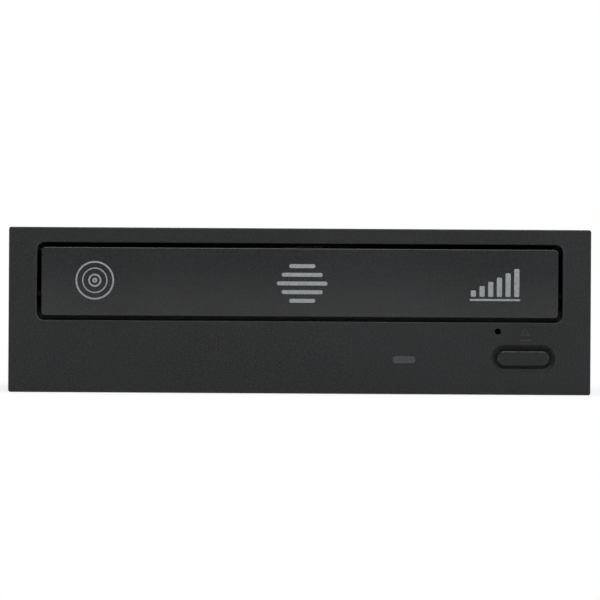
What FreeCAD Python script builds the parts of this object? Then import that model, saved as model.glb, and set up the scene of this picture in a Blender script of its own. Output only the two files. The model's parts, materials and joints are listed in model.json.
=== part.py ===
"""Internal half-height disc writer with a motor-driven tray, for a 5.25 inch bay.

All lengths are in millimetres.
X runs across the drive, Y runs from the front panel to the rear, Z is up.
Each piece is drawn from the panel datum: Y = 0 is the plane where the front panel meets the metal case,
and Z = 0 is the underside of the case.
A last placement moves every piece so that the origin is the centre of the four mounting
holes in the underside.
The lifting unit is drawn level, as it stands while a disc plays, and is then lowered about its hinge,
as it stands while the tray is free to run.
"""

import FreeCAD, Part
import math
import os

import Sketcher

Vector = FreeCAD.Vector

SIZES = (
    # Front panel
    ("panel_width", 148.0),
    ("panel_height", 42.0),
    ("panel_depth", 5.0),
    ("panel_wall", 2.0),
    ("panel_corner", 0.6),
    ("panel_edge", 0.35),
    ("opening_width", 133.6),
    ("opening_height", 19.7),
    ("opening_sill", 18.4),
    ("opening_radius", 1.9),
    ("opening_edge", 0.35),
    ("opening_collar", 1.2),
    # Tray door
    ("door_gap", 1.15),
    ("door_wall", 1.8),
    ("door_depth", 4.6),
    ("door_proud", 0.4),
    ("door_crown", 0.35),
    ("door_radius", 0.9),
    ("door_edge", 0.3),
    ("door_rib_inner", 29.5),
    ("door_rib_outer", 49.2),
    # Eject button, lamp window and release hole
    ("button_across", 56.9),
    ("button_up", 9.3),
    ("button_length", 13.2),
    ("button_height", 3.7),
    ("button_gap", 0.72),
    ("button_dish", 0.85),
    ("button_edge", 0.35),
    ("button_flange", 1.0),
    ("button_travel", 0.8),
    ("stem_radius", 1.2),
    ("lamp_across", 26.6),
    ("lamp_up", 8.8),
    ("lamp_width", 5.95),
    ("lamp_height", 1.95),
    ("lamp_radius", 0.7),
    ("release_across", 50.4),
    ("release_up", 16.1),
    ("release_radius", 0.78),
    # Latches between the front panel and the case
    ("latch_across", 44.0),
    ("latch_width", 6.0),
    ("latch_wall", 1.5),
    ("latch_reach", 9.5),
    ("latch_hook", 0.7),
    ("side_latch_up", 12.5),
    ("side_latch_height", 8.0),
    # Metal case
    ("case_width", 146.0),
    ("case_height", 41.3),
    ("case_depth", 165.0),
    ("case_sheet", 0.8),
    ("case_bend", 1.2),
    ("emboss_height", 0.5),
    ("emboss_inset", 9.0),
    ("emboss_radius", 6.0),
    ("emboss_front", 14.0),
    ("emboss_rear", 12.0),
    ("crown_recess_radius", 30.0),
    ("rear_fold_bottom", 5.5),
    ("fit_gap", 0.1),
    # Mounting holes
    ("first_hole", 47.4),
    ("hole_pitch", 79.25),
    ("side_hole_low", 9.9),
    ("side_hole_high", 21.85),
    ("bottom_hole_across", 69.85),
    ("mount_hole_radius", 1.25),
    ("mount_collar_wall", 0.9),
    # Underside
    ("heat_pad_width", 62.0),
    ("heat_pad_front", 96.0),
    ("heat_pad_length", 46.0),
    ("heat_pad_rise", 1.2),
    ("stiffener_width", 8.0),
    ("stiffener_length", 52.0),
    ("stiffener_inner", 6.0),
    ("bottom_tab_front", 19.8),
    ("bottom_tab_middle", 85.8),
    ("bottom_tab_rear", 148.5),
    ("bottom_tab_length", 12.0),
    ("bottom_tab_height", 5.0),
    ("bottom_fold_height", 5.2),
    # Case screws
    ("case_screw_across", 61.0),
    ("case_screw_front", 26.0),
    ("case_screw_rear", 150.0),
    ("case_screw_radius", 1.3),
    ("case_screw_head", 2.6),
    ("case_screw_length", 7.0),
    # Loader chassis
    ("chassis_wall", 2.4),
    ("chassis_top", 36.4),
    ("chassis_start", 1.0),
    ("chassis_end", 161.5),
    ("deck_top", 14.0),
    ("deck_thickness", 2.0),
    ("deck_end", 41.5),
    ("rail_up", 23.0),
    ("rail_height", 2.6),
    ("rail_gap", 0.3),
    ("rail_rib", 1.2),
    ("rail_reach", 1.9),
    ("ear_wall", 3.0),
    ("ear_height", 9.0),
    # Tray
    ("tray_width", 128.5),
    ("tray_rear", 152.0),
    ("tray_top", 33.5),
    ("tray_underside", 28.5),
    ("tray_skirt_bottom", 20.9),
    ("tray_skirt_wall", 2.0),
    ("disc_radius", 60.0),
    ("disc_clearance", 1.0),
    ("disc_bed", 31.0),
    ("small_disc_radius", 40.8),
    ("small_disc_bed", 30.0),
    ("slot_half_width", 22.0),
    ("slot_end", 67.0),
    ("tray_core_roof", 31.5),
    # Disc axis and clamp
    ("spindle_back", 64.5),
    ("disc_plane", 33.4),
    ("bridge_sheet", 0.8),
    ("bridge_width", 40.0),
    ("bridge_lip", 1.6),
    ("bridge_hole_radius", 12.2),
    ("clamper_radius", 15.5),
    ("clamper_neck_radius", 11.5),
    ("clamper_socket_radius", 8.6),
    ("clamper_drop", 0.6),
    ("clamper_flange_radius", 15.0),
    ("clamper_flange_wall", 1.1),
    # Lifting unit
    ("hinge_back", 155.0),
    ("hinge_up", 21.0),
    ("hinge_pin_radius", 2.0),
    ("hinge_clearance", 0.05),
    ("lower_angle", 5.0),
    ("lift_half_width", 46.0),
    ("lift_front", 46.5),
    ("lift_rear", 149.0),
    ("lift_wall", 4.0),
    ("lift_bottom", 17.5),
    ("lift_height", 6.5),
    ("peg_across", 22.0),
    ("peg_radius", 2.0),
    ("peg_reach", 4.4),
    ("base_sheet", 1.2),
    ("base_up", 21.0),
    ("base_half_width", 41.0),
    ("base_front", 52.0),
    ("base_rear", 144.5),
    ("damper_across", 33.5),
    ("damper_front", 57.5),
    ("damper_rear", 139.0),
    ("damper_radius", 4.0),
    ("damper_neck_radius", 2.6),
    ("damper_bore", 1.6),
    # Spindle motor
    ("rotor_radius", 13.0),
    ("rotor_bottom", 25.0),
    ("rotor_top", 29.6),
    ("rotor_wall", 0.8),
    ("shaft_radius", 1.5),
    ("turntable_radius", 15.0),
    ("turntable_wall", 2.4),
    ("mat_height", 0.4),
    ("mat_width", 3.4),
    ("hub_radius", 7.4),
    ("hub_height", 1.6),
    # Pickup sled and its drive
    ("rod_across", 25.0),
    ("rod_radius", 1.5),
    ("rod_up", 24.6),
    ("rod_front", 73.5),
    ("rod_rear", 143.0),
    ("lens_inner", 24.0),
    ("sled_front", 9.5),
    ("sled_back", 14.5),
    ("sled_half_width", 19.5),
    ("sled_bottom", 18.6),
    ("sled_top", 27.6),
    ("lens_radius", 2.4),
    ("screw_across", 33.6),
    ("screw_radius", 1.5),
    ("sled_motor_radius", 4.5),
    ("sled_motor_length", 15.0),
    ("sled_motor_front", 67.0),
    # Tray drive
    ("drive_across", -43.0),
    ("drive_back", 20.5),
    ("drive_pinion_teeth", 18),
    ("drive_pinion_module", 1.0),
    ("drive_wheel_teeth", 36),
    ("middle_pinion_teeth", 14),
    ("middle_wheel_teeth", 30),
    ("pulley_pinion_teeth", 12),
    ("train_module", 0.8),
    ("middle_bearing", -4.0),
    ("pulley_bearing", 15.0),
    ("pressure_angle", 25.0),
    ("tooth_backlash", 0.12),
    ("gear_seat_gap", 0.3),
    ("low_tier_height", 2.2),
    ("mid_tier_height", 2.2),
    ("pinion_height", 5.2),
    ("gear_bore_gap", 0.05),
    ("gear_post_radius", 1.5),
    ("pulley_radius", 12.0),
    ("motor_pulley_radius", 3.4),
    ("pulley_height", 3.2),
    ("belt_width", 1.4),
    ("motor_across", 32.0),
    ("motor_back", 23.5),
    ("motor_radius", 12.0),
    ("motor_height", 9.6),
    ("motor_shaft_radius", 1.0),
    # Cam slider
    ("cam_travel", 15.0),
    ("cam_wall", 2.0),
    ("cam_gap", 0.8),
    ("cam_foot_height", 1.5),
    ("cam_arm_height", 1.9),
    ("cam_slot_gap", 0.2),
    # Circuit boards
    ("board_sheet", 1.6),
    ("board_up", 6.0),
    ("board_front", 80.0),
    ("board_half_width", 66.0),
    ("front_board_back", 7.2),
    ("front_board_sheet", 1.2),
    ("port_across", 44.0),
    ("port_width", 33.4),
    ("port_height", 6.6),
    ("port_depth", 9.0),
    # Shared fastenings and small clearances
    ("small_screw_radius", 1.0),
    ("pan_head_radius", 1.9),
    ("pan_head_height", 1.2),
    ("boss_radius", 3.0),
    ("mount_clearance", 2.5),
    # Loader chassis, smaller features
    ("chassis_bottom", 2.0),
    ("front_wall_bottom", 3.0),
    ("front_wall_top", 20.3),
    ("rear_wall_top", 27.0),
    ("opening_half", 50.0),
    ("strip_end", 155.0),
    ("rail_length", 146.0),
    ("bridge_seat", 3.9),
    ("bridge_screw_across", 67.4),
    ("bridge_screw_back", 14.0),
    ("bridge_screw_length", 6.0),
    ("ear_gap", 1.2),
    ("board_screw_across", 62.5),
    ("board_screw_front", 88.0),
    ("board_screw_rear", 138.0),
    ("board_screw_length", 5.0),
    ("front_screw_left", 14.0),
    ("front_screw_right", 47.5),
    ("front_screw_up", 8.5),
    ("front_rib_bottom", 5.0),
    ("post_lip", 0.5),
    ("post_head", 0.8),
    ("hook_wall", 1.5),
    ("hook_width", 6.0),
    ("hook_left", 8.0),
    ("hook_right", 25.0),
    ("motor_boss_radius", 3.0),
    ("motor_screw_step", 8.5),
    ("motor_cap", 1.0),
    ("motor_edge", 0.6),
    # Tray, smaller features
    ("rack_wall", 4.85),
    ("rack_front", 12.0),
    ("clip_across", 17.0),
    ("bed_edge", 0.5),
    ("finger_radius", 9.5),
    ("finger_reach", 3.0),
    ("finger_bed", 29.8),
    ("slot_corner", 6.0),
    ("core_rib", 2.0),
    ("core_inner", 25.0),
    ("core_corner", 42.0),
    ("core_front_length", 11.0),
    # Clamp, smaller features
    ("bridge_window_across", 42.0),
    ("bridge_window_width", 24.0),
    ("bridge_window_length", 22.0),
    ("clamper_ring_wall", 1.6),
    ("clamper_socket_depth", 1.5),
    ("clamper_plate_radius", 9.6),
    ("clamper_plate_height", 1.2),
    ("clamper_lip", 2.5),
    ("clamper_groove", 0.5),
    # Belt, gears and slider, smaller features
    ("gear_hub_radius", 3.6),
    ("pulley_groove", 1.2),
    ("pulley_hub", 2.0),
    ("belt_thick", 1.0),
    ("cam_end", 2.5),
    ("cam_rim", 1.0),
    ("cam_flange", 7.7),
    ("cam_flange_left", -28.0),
    ("cam_flange_right", 44.0),
    ("finger_left", 32.0),
    ("finger_length", 8.0),
    # Lifting unit, smaller features
    ("base_flange", 2.8),
    ("base_opening_front", 77.5),
    ("base_opening_rear", 139.0),
    ("bearing_radius", 3.8),
    ("damper_top", 1.5),
    ("coil_radius", 10.6),
    ("coil_root", 6.5),
    ("coil_top", 28.2),
    ("coil_count", 9),
    ("magnet_wall", 1.0),
    ("hub_chamfer", 0.9),
    ("holder_length", 2.5),
    ("hook_length", 9.0),
    ("sleeve_wall", 1.2),
    ("nut_wall", 1.4),
    ("sled_wall", 1.5),
    ("sled_core", 3.0),
    ("well_half_width", 9.0),
    ("well_half_length", 7.2),
    ("cover_sheet", 0.4),
    ("yoke_wall", 0.8),
    ("yoke_half_width", 6.0),
    ("yoke_top", 30.4),
    ("holder_gap", 0.6),
    ("holder_half_width", 7.0),
    ("holder_bottom", 28.5),
    ("holder_top", 30.9),
    ("lens_height", 0.7),
    # Electronics, smaller features
    ("chip_height", 1.4),
    ("processor_across", 0.0),
    ("processor_back", 118.0),
    ("processor_width", 14.0),
    ("processor_length", 14.0),
    ("memory_across", -25.0),
    ("memory_back", 104.0),
    ("memory_width", 9.0),
    ("memory_length", 13.0),
    ("driver_across", 23.0),
    ("driver_back", 128.0),
    ("driver_width", 10.0),
    ("driver_length", 6.0),
    ("flash_across", -24.0),
    ("flash_back", 130.0),
    ("flash_width", 8.0),
    ("flash_length", 8.0),
    ("regulator_across", 26.0),
    ("regulator_back", 103.0),
    ("regulator_width", 6.0),
    ("regulator_length", 6.0),
    ("thermal_pad_side", 12.0),
    ("capacitor_radius", 2.0),
    ("capacitor_pitch", 6.0),
    ("right_capacitor_across", 55.0),
    ("right_capacitor_back", 98.0),
    ("left_capacitor_across", -56.0),
    ("left_capacitor_back", 118.0),
    ("socket_length", 4.0),
    ("wide_socket_left", -32.0),
    ("wide_socket_front", 82.0),
    ("wide_socket_width", 22.0),
    ("narrow_socket_left", 4.0),
    ("narrow_socket_front", 82.0),
    ("narrow_socket_width", 12.0),
    ("side_socket_left", -52.0),
    ("side_socket_front", 84.0),
    ("side_socket_width", 7.0),
    ("contact_pitch", 1.27),
    ("contact_width", 0.8),
    ("power_contact_inset", 0.95),
    ("data_contact_inset", 0.7),
    ("switch_depth", 3.0),
    ("switch_plunger", 0.8),
    ("switch_width", 6.0),
    ("switch_height", 5.4),
    ("switch_below", 2.8),
    ("lamp_body_width", 3.2),
    ("lamp_body_height", 2.0),
    ("lamp_body_depth", 1.4),
    ("capacitor_height", 4.0),
    ("socket_height", 2.0),
    ("port_wall", 1.0),
    ("tongue_height", 1.2),
    ("power_tongue", 20.2),
    ("data_tongue", 9.6),
    ("contact_height", 0.15),
    ("front_board_left", 4.0),
    ("front_board_width", 56.5),
    ("front_board_bottom", 3.5),
    ("ribbon_left", 5.0),
    ("ribbon_width", 6.0),
    ("ribbon_sheet", 0.3),
    ("ribbon_up", 2.6),
    # How far joined features reach into each other
    ("joint_bite", 0.5),
    ("deep_bite", 1.0),
    ("tooth_bite", 0.2),
    ("arm_bite", 0.3),
    # Small margins and feet
    ("rib_margin", 0.5),
    ("base_margin", 0.5),
    ("motor_slot_front", 1.5),
    ("lug_height", 2.0),
    ("screw_raise", 0.5),
    ("bearing_foot", 2.0),
    ("shaft_well", 3.0),
    ("shaft_foot", 3.2),
    ("coil_gap_inner", 0.35),
    ("coil_gap_outer", 0.9),
    ("coil_seat_gap", 0.05),
    ("bracket_step", 1.0),
    ("lens_seat", 0.6),
    ("head_sink", 0.05),
    # The cross recess of a screw, as shares of its head's radius and height
    ("cross_span", 1.2),
    ("cross_width", 0.3),
    ("cross_depth", 0.6),
)


class Size:
    """A length that knows its number and the text that binds it to the sheet."""

    def __init__(self, text, number):
        self.text = text
        self.number = float(number)

    @staticmethod
    def of(thing):
        return thing if isinstance(thing, Size) else Size(repr(float(thing)), thing)

    def __add__(self, other):
        other = Size.of(other)
        return Size(f"({self.text} + {other.text})", self.number + other.number)

    def __sub__(self, other):
        other = Size.of(other)
        return Size(f"({self.text} - {other.text})", self.number - other.number)

    def __mul__(self, other):
        other = Size.of(other)
        return Size(f"({self.text} * {other.text})", self.number * other.number)

    def __truediv__(self, other):
        other = Size.of(other)
        return Size(f"({self.text} / {other.text})", self.number / other.number)

    def __radd__(self, other):
        return Size.of(other) + self

    def __rsub__(self, other):
        return Size.of(other) - self

    def __rmul__(self, other):
        return Size.of(other) * self

    def __neg__(self):
        return Size(f"(0 - {self.text})", -self.number)


class Sheet:
    """The spreadsheet of driving sizes, read as attributes: S.panel_width."""

    def __init__(self, doc):
        self.sheet = doc.addObject("Spreadsheet::Sheet", "Sizes")
        self.known = {}
        for row, (name, number) in enumerate(SIZES, start=1):
            self.sheet.set(f"A{row}", name)
            self.sheet.set(f"B{row}", str(number))
            self.sheet.setAlias(f"B{row}", name)
            self.known[name] = Size(f"Sizes.{name}", number)
        doc.recompute()

    def __getattr__(self, name):
        if name in ("known", "sheet") or name not in self.known:
            raise AttributeError(name)
        return self.known[name]


doc = FreeCAD.newDocument("disc_writer")
S = Sheet(doc)

# Lines that several pieces share
HALF_CASE = S.case_width / 2
CASE_INSIDE = HALF_CASE - S.case_sheet
CHASSIS_OUTSIDE = CASE_INSIDE - S.case_sheet - S.fit_gap
CHASSIS_INSIDE = CHASSIS_OUTSIDE - S.chassis_wall
CASE_ROOF = S.case_height - S.emboss_height
REAR_HOLE = S.first_hole + S.hole_pitch
HOLE_ROWS = (S.first_hole, REAR_HOLE)
SIDE_HOLES = [(back, up) for back in HOLE_ROWS for up in (S.side_hole_low, S.side_hole_high)]
OPENING_TOP = S.opening_sill + S.opening_height
DOOR_WIDTH = S.opening_width - S.door_gap * 2
DOOR_HEIGHT = S.opening_height - S.door_gap * 2
DOOR_BOTTOM = S.opening_sill + S.door_gap
DOOR_BACK = S.door_depth - S.panel_depth - S.door_proud
ORIGIN_BACK = S.first_hole + S.hole_pitch / 2
LOWER_COS = Size(f"cos({S.lower_angle.text} * 1 deg)", math.cos(math.radians(S.lower_angle.number)))
LOWER_SIN = Size(f"sin({S.lower_angle.text} * 1 deg)", math.sin(math.radians(S.lower_angle.number)))
SIDES = (-1, 1)
# How near an edge lies to a line or a level to count as on it
NEAR = 0.01

NORMALS = {"XY": "+z", "XZ": "-y", "YZ": "+x"}
pieces = []


class Outline:
    """A fully constrained sketch on one of a body's own planes, whose sizes are bound to the sheet."""

    def __init__(self, body, plane, at):
        self.sketch = body.newObject("Sketcher::SketchObject", "Outline")
        role = f"{plane}_Plane"
        origin_plane = [f for f in body.Origin.OriginFeatures if f.Role == role][0]
        self.sketch.AttachmentSupport = [(origin_plane, "")]
        self.sketch.MapMode = "FlatFace"
        along = -Size.of(at) if plane == "XZ" else Size.of(at)
        self.sketch.AttachmentOffset = FreeCAD.Placement(Vector(0, 0, along.number), FreeCAD.Rotation())
        self.sketch.setExpression("AttachmentOffset.Base.z", along.text)
        self.plane = plane

    def limit(self, kind, *target):
        """Adds a constraint whose last item is a Size."""
        size = Size.of(target[-1])
        index = self.sketch.addConstraint(Sketcher.Constraint(kind, *target[:-1], size.number))
        if "Sizes." in size.text:
            self.sketch.setExpression(f"Constraints[{index}]", size.text)

    def tie(self, kind, *target):
        self.sketch.addConstraint(Sketcher.Constraint(kind, *target))

    def pin(self, shape, point, across, up):
        """Fixes one point of one shape at its distances from the sketch's origin."""
        self.limit("DistanceX", -1, 1, shape, point, across)
        self.limit("DistanceY", -1, 1, shape, point, up)

    def polygon(self, *corners):
        """A closed outline of straight lines through the corners."""
        corners = [(Size.of(a), Size.of(b)) for a, b in corners]
        spots = [Vector(a.number, b.number, 0) for a, b in corners]
        first = self.sketch.GeometryCount
        count = len(spots)
        for i in range(count):
            self.sketch.addGeometry(Part.LineSegment(spots[i], spots[(i + 1) % count]), False)
        for i in range(count):
            self.tie("Coincident", first + i, 2, first + (i + 1) % count, 1)
        for i, (across, up) in enumerate(corners):
            self.pin(first + i, 1, across, up)
        return self

    def rectangle(self, left, bottom, width, height):
        """A rectangle from its lower left corner."""
        left, bottom = Size.of(left), Size.of(bottom)
        right, top = left + width, bottom + height
        low, high = Vector(left.number, bottom.number, 0), Vector(right.number, top.number, 0)
        spots = [low, Vector(high.x, low.y, 0), high, Vector(low.x, high.y, 0)]
        first = self.sketch.GeometryCount
        for i in range(4):
            self.sketch.addGeometry(Part.LineSegment(spots[i], spots[(i + 1) % 4]), False)
        for i in range(4):
            self.tie("Coincident", first + i, 2, first + (i + 1) % 4, 1)
            self.tie("Vertical" if i % 2 else "Horizontal", first + i)
        self.pin(first, 1, left, bottom)
        self.limit("DistanceX", first, 1, first, 2, width)
        self.limit("DistanceY", first + 1, 1, first + 1, 2, height)
        return self

    def rounded(self, left, bottom, width, height, radius):
        """A rectangle with rounded corners, from its lower left corner."""
        left, bottom, radius = Size.of(left), Size.of(bottom), Size.of(radius)
        right, top = left + width, bottom + height
        x0, x1, y0, y1, r = (s.number for s in (left, right, bottom, top, radius))
        centres = [(x1 - r, y0 + r), (x1 - r, y1 - r), (x0 + r, y1 - r), (x0 + r, y0 + r)]
        starts = [(x0 + r, y0), (x1, y0 + r), (x1 - r, y1), (x0, y1 - r)]
        ends = [(x1 - r, y0), (x1, y1 - r), (x0 + r, y1), (x0, y0 + r)]
        first = self.sketch.GeometryCount
        quarter = math.pi / 2
        for i in range(4):
            self.sketch.addGeometry(Part.LineSegment(Vector(*starts[i], 0), Vector(*ends[i], 0)), False)
            circle = Part.Circle(Vector(*centres[i], 0), Vector(0, 0, 1), r)
            self.sketch.addGeometry(Part.ArcOfCircle(circle, (i - 1) * quarter, i * quarter), False)
        for i in range(4):
            line, arc, after = first + 2 * i, first + 2 * i + 1, first + (2 * i + 2) % 8
            self.tie("Tangent", line, 2, arc, 1)
            self.tie("Tangent", arc, 2, after, 1)
            self.tie("Vertical" if i % 2 else "Horizontal", line)
            if i:
                self.tie("Equal", first + 1, arc)
        self.limit("Radius", first + 1, radius)
        self.pin(first + 5, 3, left + radius, top - radius)
        self.pin(first + 1, 3, right - radius, bottom + radius)
        return self

    def slot(self, across, up, length, height):
        """A slot with half-round ends, from its middle, longer along the first axis."""
        across, up, length, height = (Size.of(s) for s in (across, up, length, height))
        radius, reach = height / 2, (length - height) / 2
        x, y, r, d = across.number, up.number, radius.number, reach.number
        first = self.sketch.GeometryCount
        turn = math.pi / 2
        right = Part.Circle(Vector(x + d, y, 0), Vector(0, 0, 1), r)
        left = Part.Circle(Vector(x - d, y, 0), Vector(0, 0, 1), r)
        self.sketch.addGeometry(Part.LineSegment(Vector(x - d, y - r, 0), Vector(x + d, y - r, 0)), False)
        self.sketch.addGeometry(Part.ArcOfCircle(right, -turn, turn), False)
        self.sketch.addGeometry(Part.LineSegment(Vector(x + d, y + r, 0), Vector(x - d, y + r, 0)), False)
        self.sketch.addGeometry(Part.ArcOfCircle(left, turn, 3 * turn), False)
        for i in range(4):
            self.tie("Tangent", first + i, 2, first + (i + 1) % 4, 1)
        self.tie("Horizontal", first)
        self.limit("Radius", first + 1, radius)
        self.pin(first + 1, 3, across + reach, up)
        self.limit("DistanceX", first + 3, 3, first + 1, 3, reach * 2)
        return self

    def loop(self, first_end, second_end):
        """Two circles joined by their outer tangents, each end given as across, up and radius."""
        ends = [tuple(Size.of(s) for s in end) for end in (first_end, second_end)]
        (xa, ya, ra), (xb, yb, rb) = [tuple(s.number for s in end) for end in ends]
        bearing = math.atan2(yb - ya, xb - xa)
        lean = math.acos((ra - rb) / math.hypot(xb - xa, yb - ya))
        left, right = bearing + lean, bearing - lean

        def spot(x, y, r, angle):
            return Vector(x + r * math.cos(angle), y + r * math.sin(angle), 0)

        first = self.sketch.GeometryCount
        circle_a = Part.Circle(Vector(xa, ya, 0), Vector(0, 0, 1), ra)
        circle_b = Part.Circle(Vector(xb, yb, 0), Vector(0, 0, 1), rb)
        self.sketch.addGeometry(Part.ArcOfCircle(circle_a, left, right + 2 * math.pi), False)
        self.sketch.addGeometry(Part.LineSegment(spot(xa, ya, ra, right), spot(xb, yb, rb, right)), False)
        self.sketch.addGeometry(Part.ArcOfCircle(circle_b, right, left), False)
        self.sketch.addGeometry(Part.LineSegment(spot(xb, yb, rb, left), spot(xa, ya, ra, left)), False)
        for i in range(4):
            self.tie("Tangent", first + i, 2, first + (i + 1) % 4, 1)
        for shape, (across, up, radius) in zip((first, first + 2), ends):
            self.pin(shape, 3, across, up)
            self.limit("Radius", shape, radius)
        return self

    def cross(self, across, up, length, width):
        """A plus sign, as in the head of a screw."""
        across, up = Size.of(across), Size.of(up)
        long, short = Size.of(length) / 2, Size.of(width) / 2
        turns = ((1, 0), (0, 1), (-1, 0), (0, -1))
        corners = []
        for along_x, along_y in turns:
            side_x, side_y = -along_y, along_x
            for side in (-1, 1):
                corners.append((
                    across + long * along_x + short * (side * side_x),
                    up + long * along_y + short * (side * side_y),
                ))
            corners.append((
                across + short * along_x + short * side_x,
                up + short * along_y + short * side_y,
            ))
        return self.polygon(*corners)

    def circle(self, across, up, radius):
        across, up, radius = Size.of(across), Size.of(up), Size.of(radius)
        circle = Part.Circle(Vector(across.number, up.number, 0), Vector(0, 0, 1), radius.number)
        index = self.sketch.addGeometry(circle, False)
        self.pin(index, 3, across, up)
        self.limit("Radius", index, radius)
        return self


class Piece:
    """One sub-part, built as a body of sketches and features."""

    def __init__(self, label, several=False):
        self.body = doc.addObject("PartDesign::Body", label)
        self.body.Label = label
        self.body.AllowCompound = several
        self.label = label
        pieces.append(self.body)
        self.place()

    def outline(self, plane, at=0):
        return Outline(self.body, plane, at)

    def feature(self, kind, outline, length, towards, through=False):
        made = self.body.newObject(f"PartDesign::{kind}", kind)
        made.Profile = outline.sketch
        along_normal = NORMALS[outline.plane] == towards
        made.Reversed = along_normal if kind == "Pocket" else not along_normal
        if through:
            made.Type = 1
            made.Midplane = True
        else:
            size = Size.of(length)
            made.Length = size.number
            if "Sizes." in size.text:
                made.setExpression("Length", size.text)
        outline.sketch.Visibility = False
        return made

    def pad(self, outline, length, towards):
        """Adds material from the outline's plane, for a length, towards +x, -x, +y and so on."""
        return self.feature("Pad", outline, length, towards)

    def cut(self, outline, length, towards):
        """Takes material away from the outline's plane, for a depth, in one direction."""
        return self.feature("Pocket", outline, length, towards)

    def cut_through(self, outline):
        return self.feature("Pocket", outline, 0, "", through=True)

    def spin(self, outline, about="V_Axis", groove=False):
        """Turns an outline a full turn about an axis of its sketch."""
        kind = "Groove" if groove else "Revolution"
        made = self.body.newObject(f"PartDesign::{kind}", kind)
        made.Profile = outline.sketch
        made.ReferenceAxis = (outline.sketch, [about])
        made.Angle = 360.0
        return made

    def mirror(self, features, plane="YZ"):
        """Repeats features on the other side of the body's middle plane."""
        role = f"{plane}_Plane"
        made = self.body.newObject("PartDesign::Mirrored", "Mirrored")
        made.Originals = features
        made.MirrorPlane = ([f for f in self.body.Origin.OriginFeatures if f.Role == role][0], [""])
        self.body.Tip = made
        return made

    def edges(self, test):
        """The names of the tip's edges that pass a test on their middle and their direction."""
        doc.recompute()
        found = []
        for number, edge in enumerate(self.body.Tip.Shape.Edges, start=1):
            if edge.Length > 1e-3 and test(edge):
                found.append(f"Edge{number}")
        return found

    def dress(self, kind, size, test):
        """A fillet or chamfer on the edges that pass a test."""
        names = self.edges(test)
        tip = self.body.Tip
        made = self.body.newObject(f"PartDesign::{kind}", kind)
        made.Base = (tip, names)
        prop = "Radius" if kind == "Fillet" else "Size"
        setattr(made, prop, size.number)
        made.setExpression(prop, size.text)
        return made

    def block(self, left, front, bottom, width, length, height):
        """Adds a block from its lower, left, front corner."""
        return self.pad(self.outline("XY", bottom).rectangle(left, front, width, length), height, "+z")

    def pair(self, left, front, bottom, width, length, height):
        """Adds a block and its mirror image on the other side of the middle plane."""
        left, width = Size.of(left), Size.of(width)
        outline = self.outline("XY", bottom)
        outline.rectangle(left, front, width, length)
        outline.rectangle(-left - width, front, width, length)
        return self.pad(outline, height, "+z")

    def hollow(self, left, front, bottom, width, length, height):
        """Takes a block away, from its lower, left, front corner."""
        return self.cut(self.outline("XY", bottom).rectangle(left, front, width, length), height, "+z")

    def disc(self, across, back, bottom, radius, height):
        """Adds an upright cylinder."""
        return self.pad(self.outline("XY", bottom).circle(across, back, radius), height, "+z")

    def bore(self, across, back, bottom, radius, height):
        """Takes an upright cylinder away."""
        return self.cut(self.outline("XY", bottom).circle(across, back, radius), height, "+z")

    def discs(self, places, bottom, radius, height, bore=False):
        """Adds or takes away the same upright cylinder at several places."""
        outline = self.outline("XY", bottom)
        for across, back in places:
            outline.circle(across, back, radius)
        return self.cut(outline, height, "+z") if bore else self.pad(outline, height, "+z")

    def place(self, across=0, back=0, up=0, lifted=False):
        """Sets where the body's own origin stands in the drive."""
        across, back, up = Size.of(across), Size.of(back), Size.of(up)
        angle = S.lower_angle if lifted else None
        if lifted:
            out, rise = back - S.hinge_back, up - S.hinge_up
            back = S.hinge_back + out * LOWER_COS - rise * LOWER_SIN
            up = S.hinge_up + out * LOWER_SIN + rise * LOWER_COS
        back = back - ORIGIN_BACK
        turn = FreeCAD.Rotation(Vector(1, 0, 0), angle.number if lifted else 0)
        self.body.Placement = FreeCAD.Placement(Vector(across.number, back.number, up.number), turn)
        self.body.setExpression("Placement.Base.x", across.text)
        self.body.setExpression("Placement.Base.y", back.text)
        self.body.setExpression("Placement.Base.z", up.text)
        if lifted:
            self.body.setExpression("Placement.Rotation.Angle", f"{S.lower_angle.text} * 1 deg")
        return self

    def repeat_round(self, feature, count):
        """Repeats a feature a full turn round the body's own Z axis."""
        made = self.body.newObject("PartDesign::PolarPattern", "Round")
        made.Originals = [feature]
        axis = [f for f in self.body.Origin.OriginFeatures if f.Role == "Z_Axis"][0]
        made.Axis = (axis, [""])
        made.Angle = 360.0
        self.body.Tip = made
        made.Occurrences = int(count.number)
        made.setExpression("Occurrences", count.text)
        return made

    def repeat_back(self, feature, pitch, count):
        """Repeats a feature in a row that runs back along Y."""
        made = self.body.newObject("PartDesign::LinearPattern", "Row")
        made.Originals = [feature]
        axis = [f for f in self.body.Origin.OriginFeatures if f.Role == "Y_Axis"][0]
        made.Direction = (axis, [""])
        self.body.Tip = made
        made.Length = (pitch * (count - 1)).number
        made.Occurrences = count
        return made

    def fillet(self, size, test):
        return self.dress("Fillet", Size.of(size), test)

    def chamfer(self, size, test):
        return self.dress("Chamfer", Size.of(size), test)



def flat_at(axis, number, tolerance=1e-4):
    """A test for edges that lie wholly in one plane across an axis, such as y = -5."""
    low, high = f"{axis}Min", f"{axis}Max"

    def test(edge):
        box = edge.BoundBox
        return abs(getattr(box, low) - number) < tolerance and abs(getattr(box, high) - number) < tolerance

    return test


def along(axis, tolerance=1e-4):
    """A test for straight edges that run along an axis."""
    others = [a for a in "XYZ" if a != axis]

    def test(edge):
        box = edge.BoundBox
        return all(getattr(box, f"{a}Length") < tolerance for a in others)

    return test


# Front panel and what shows in it


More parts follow.
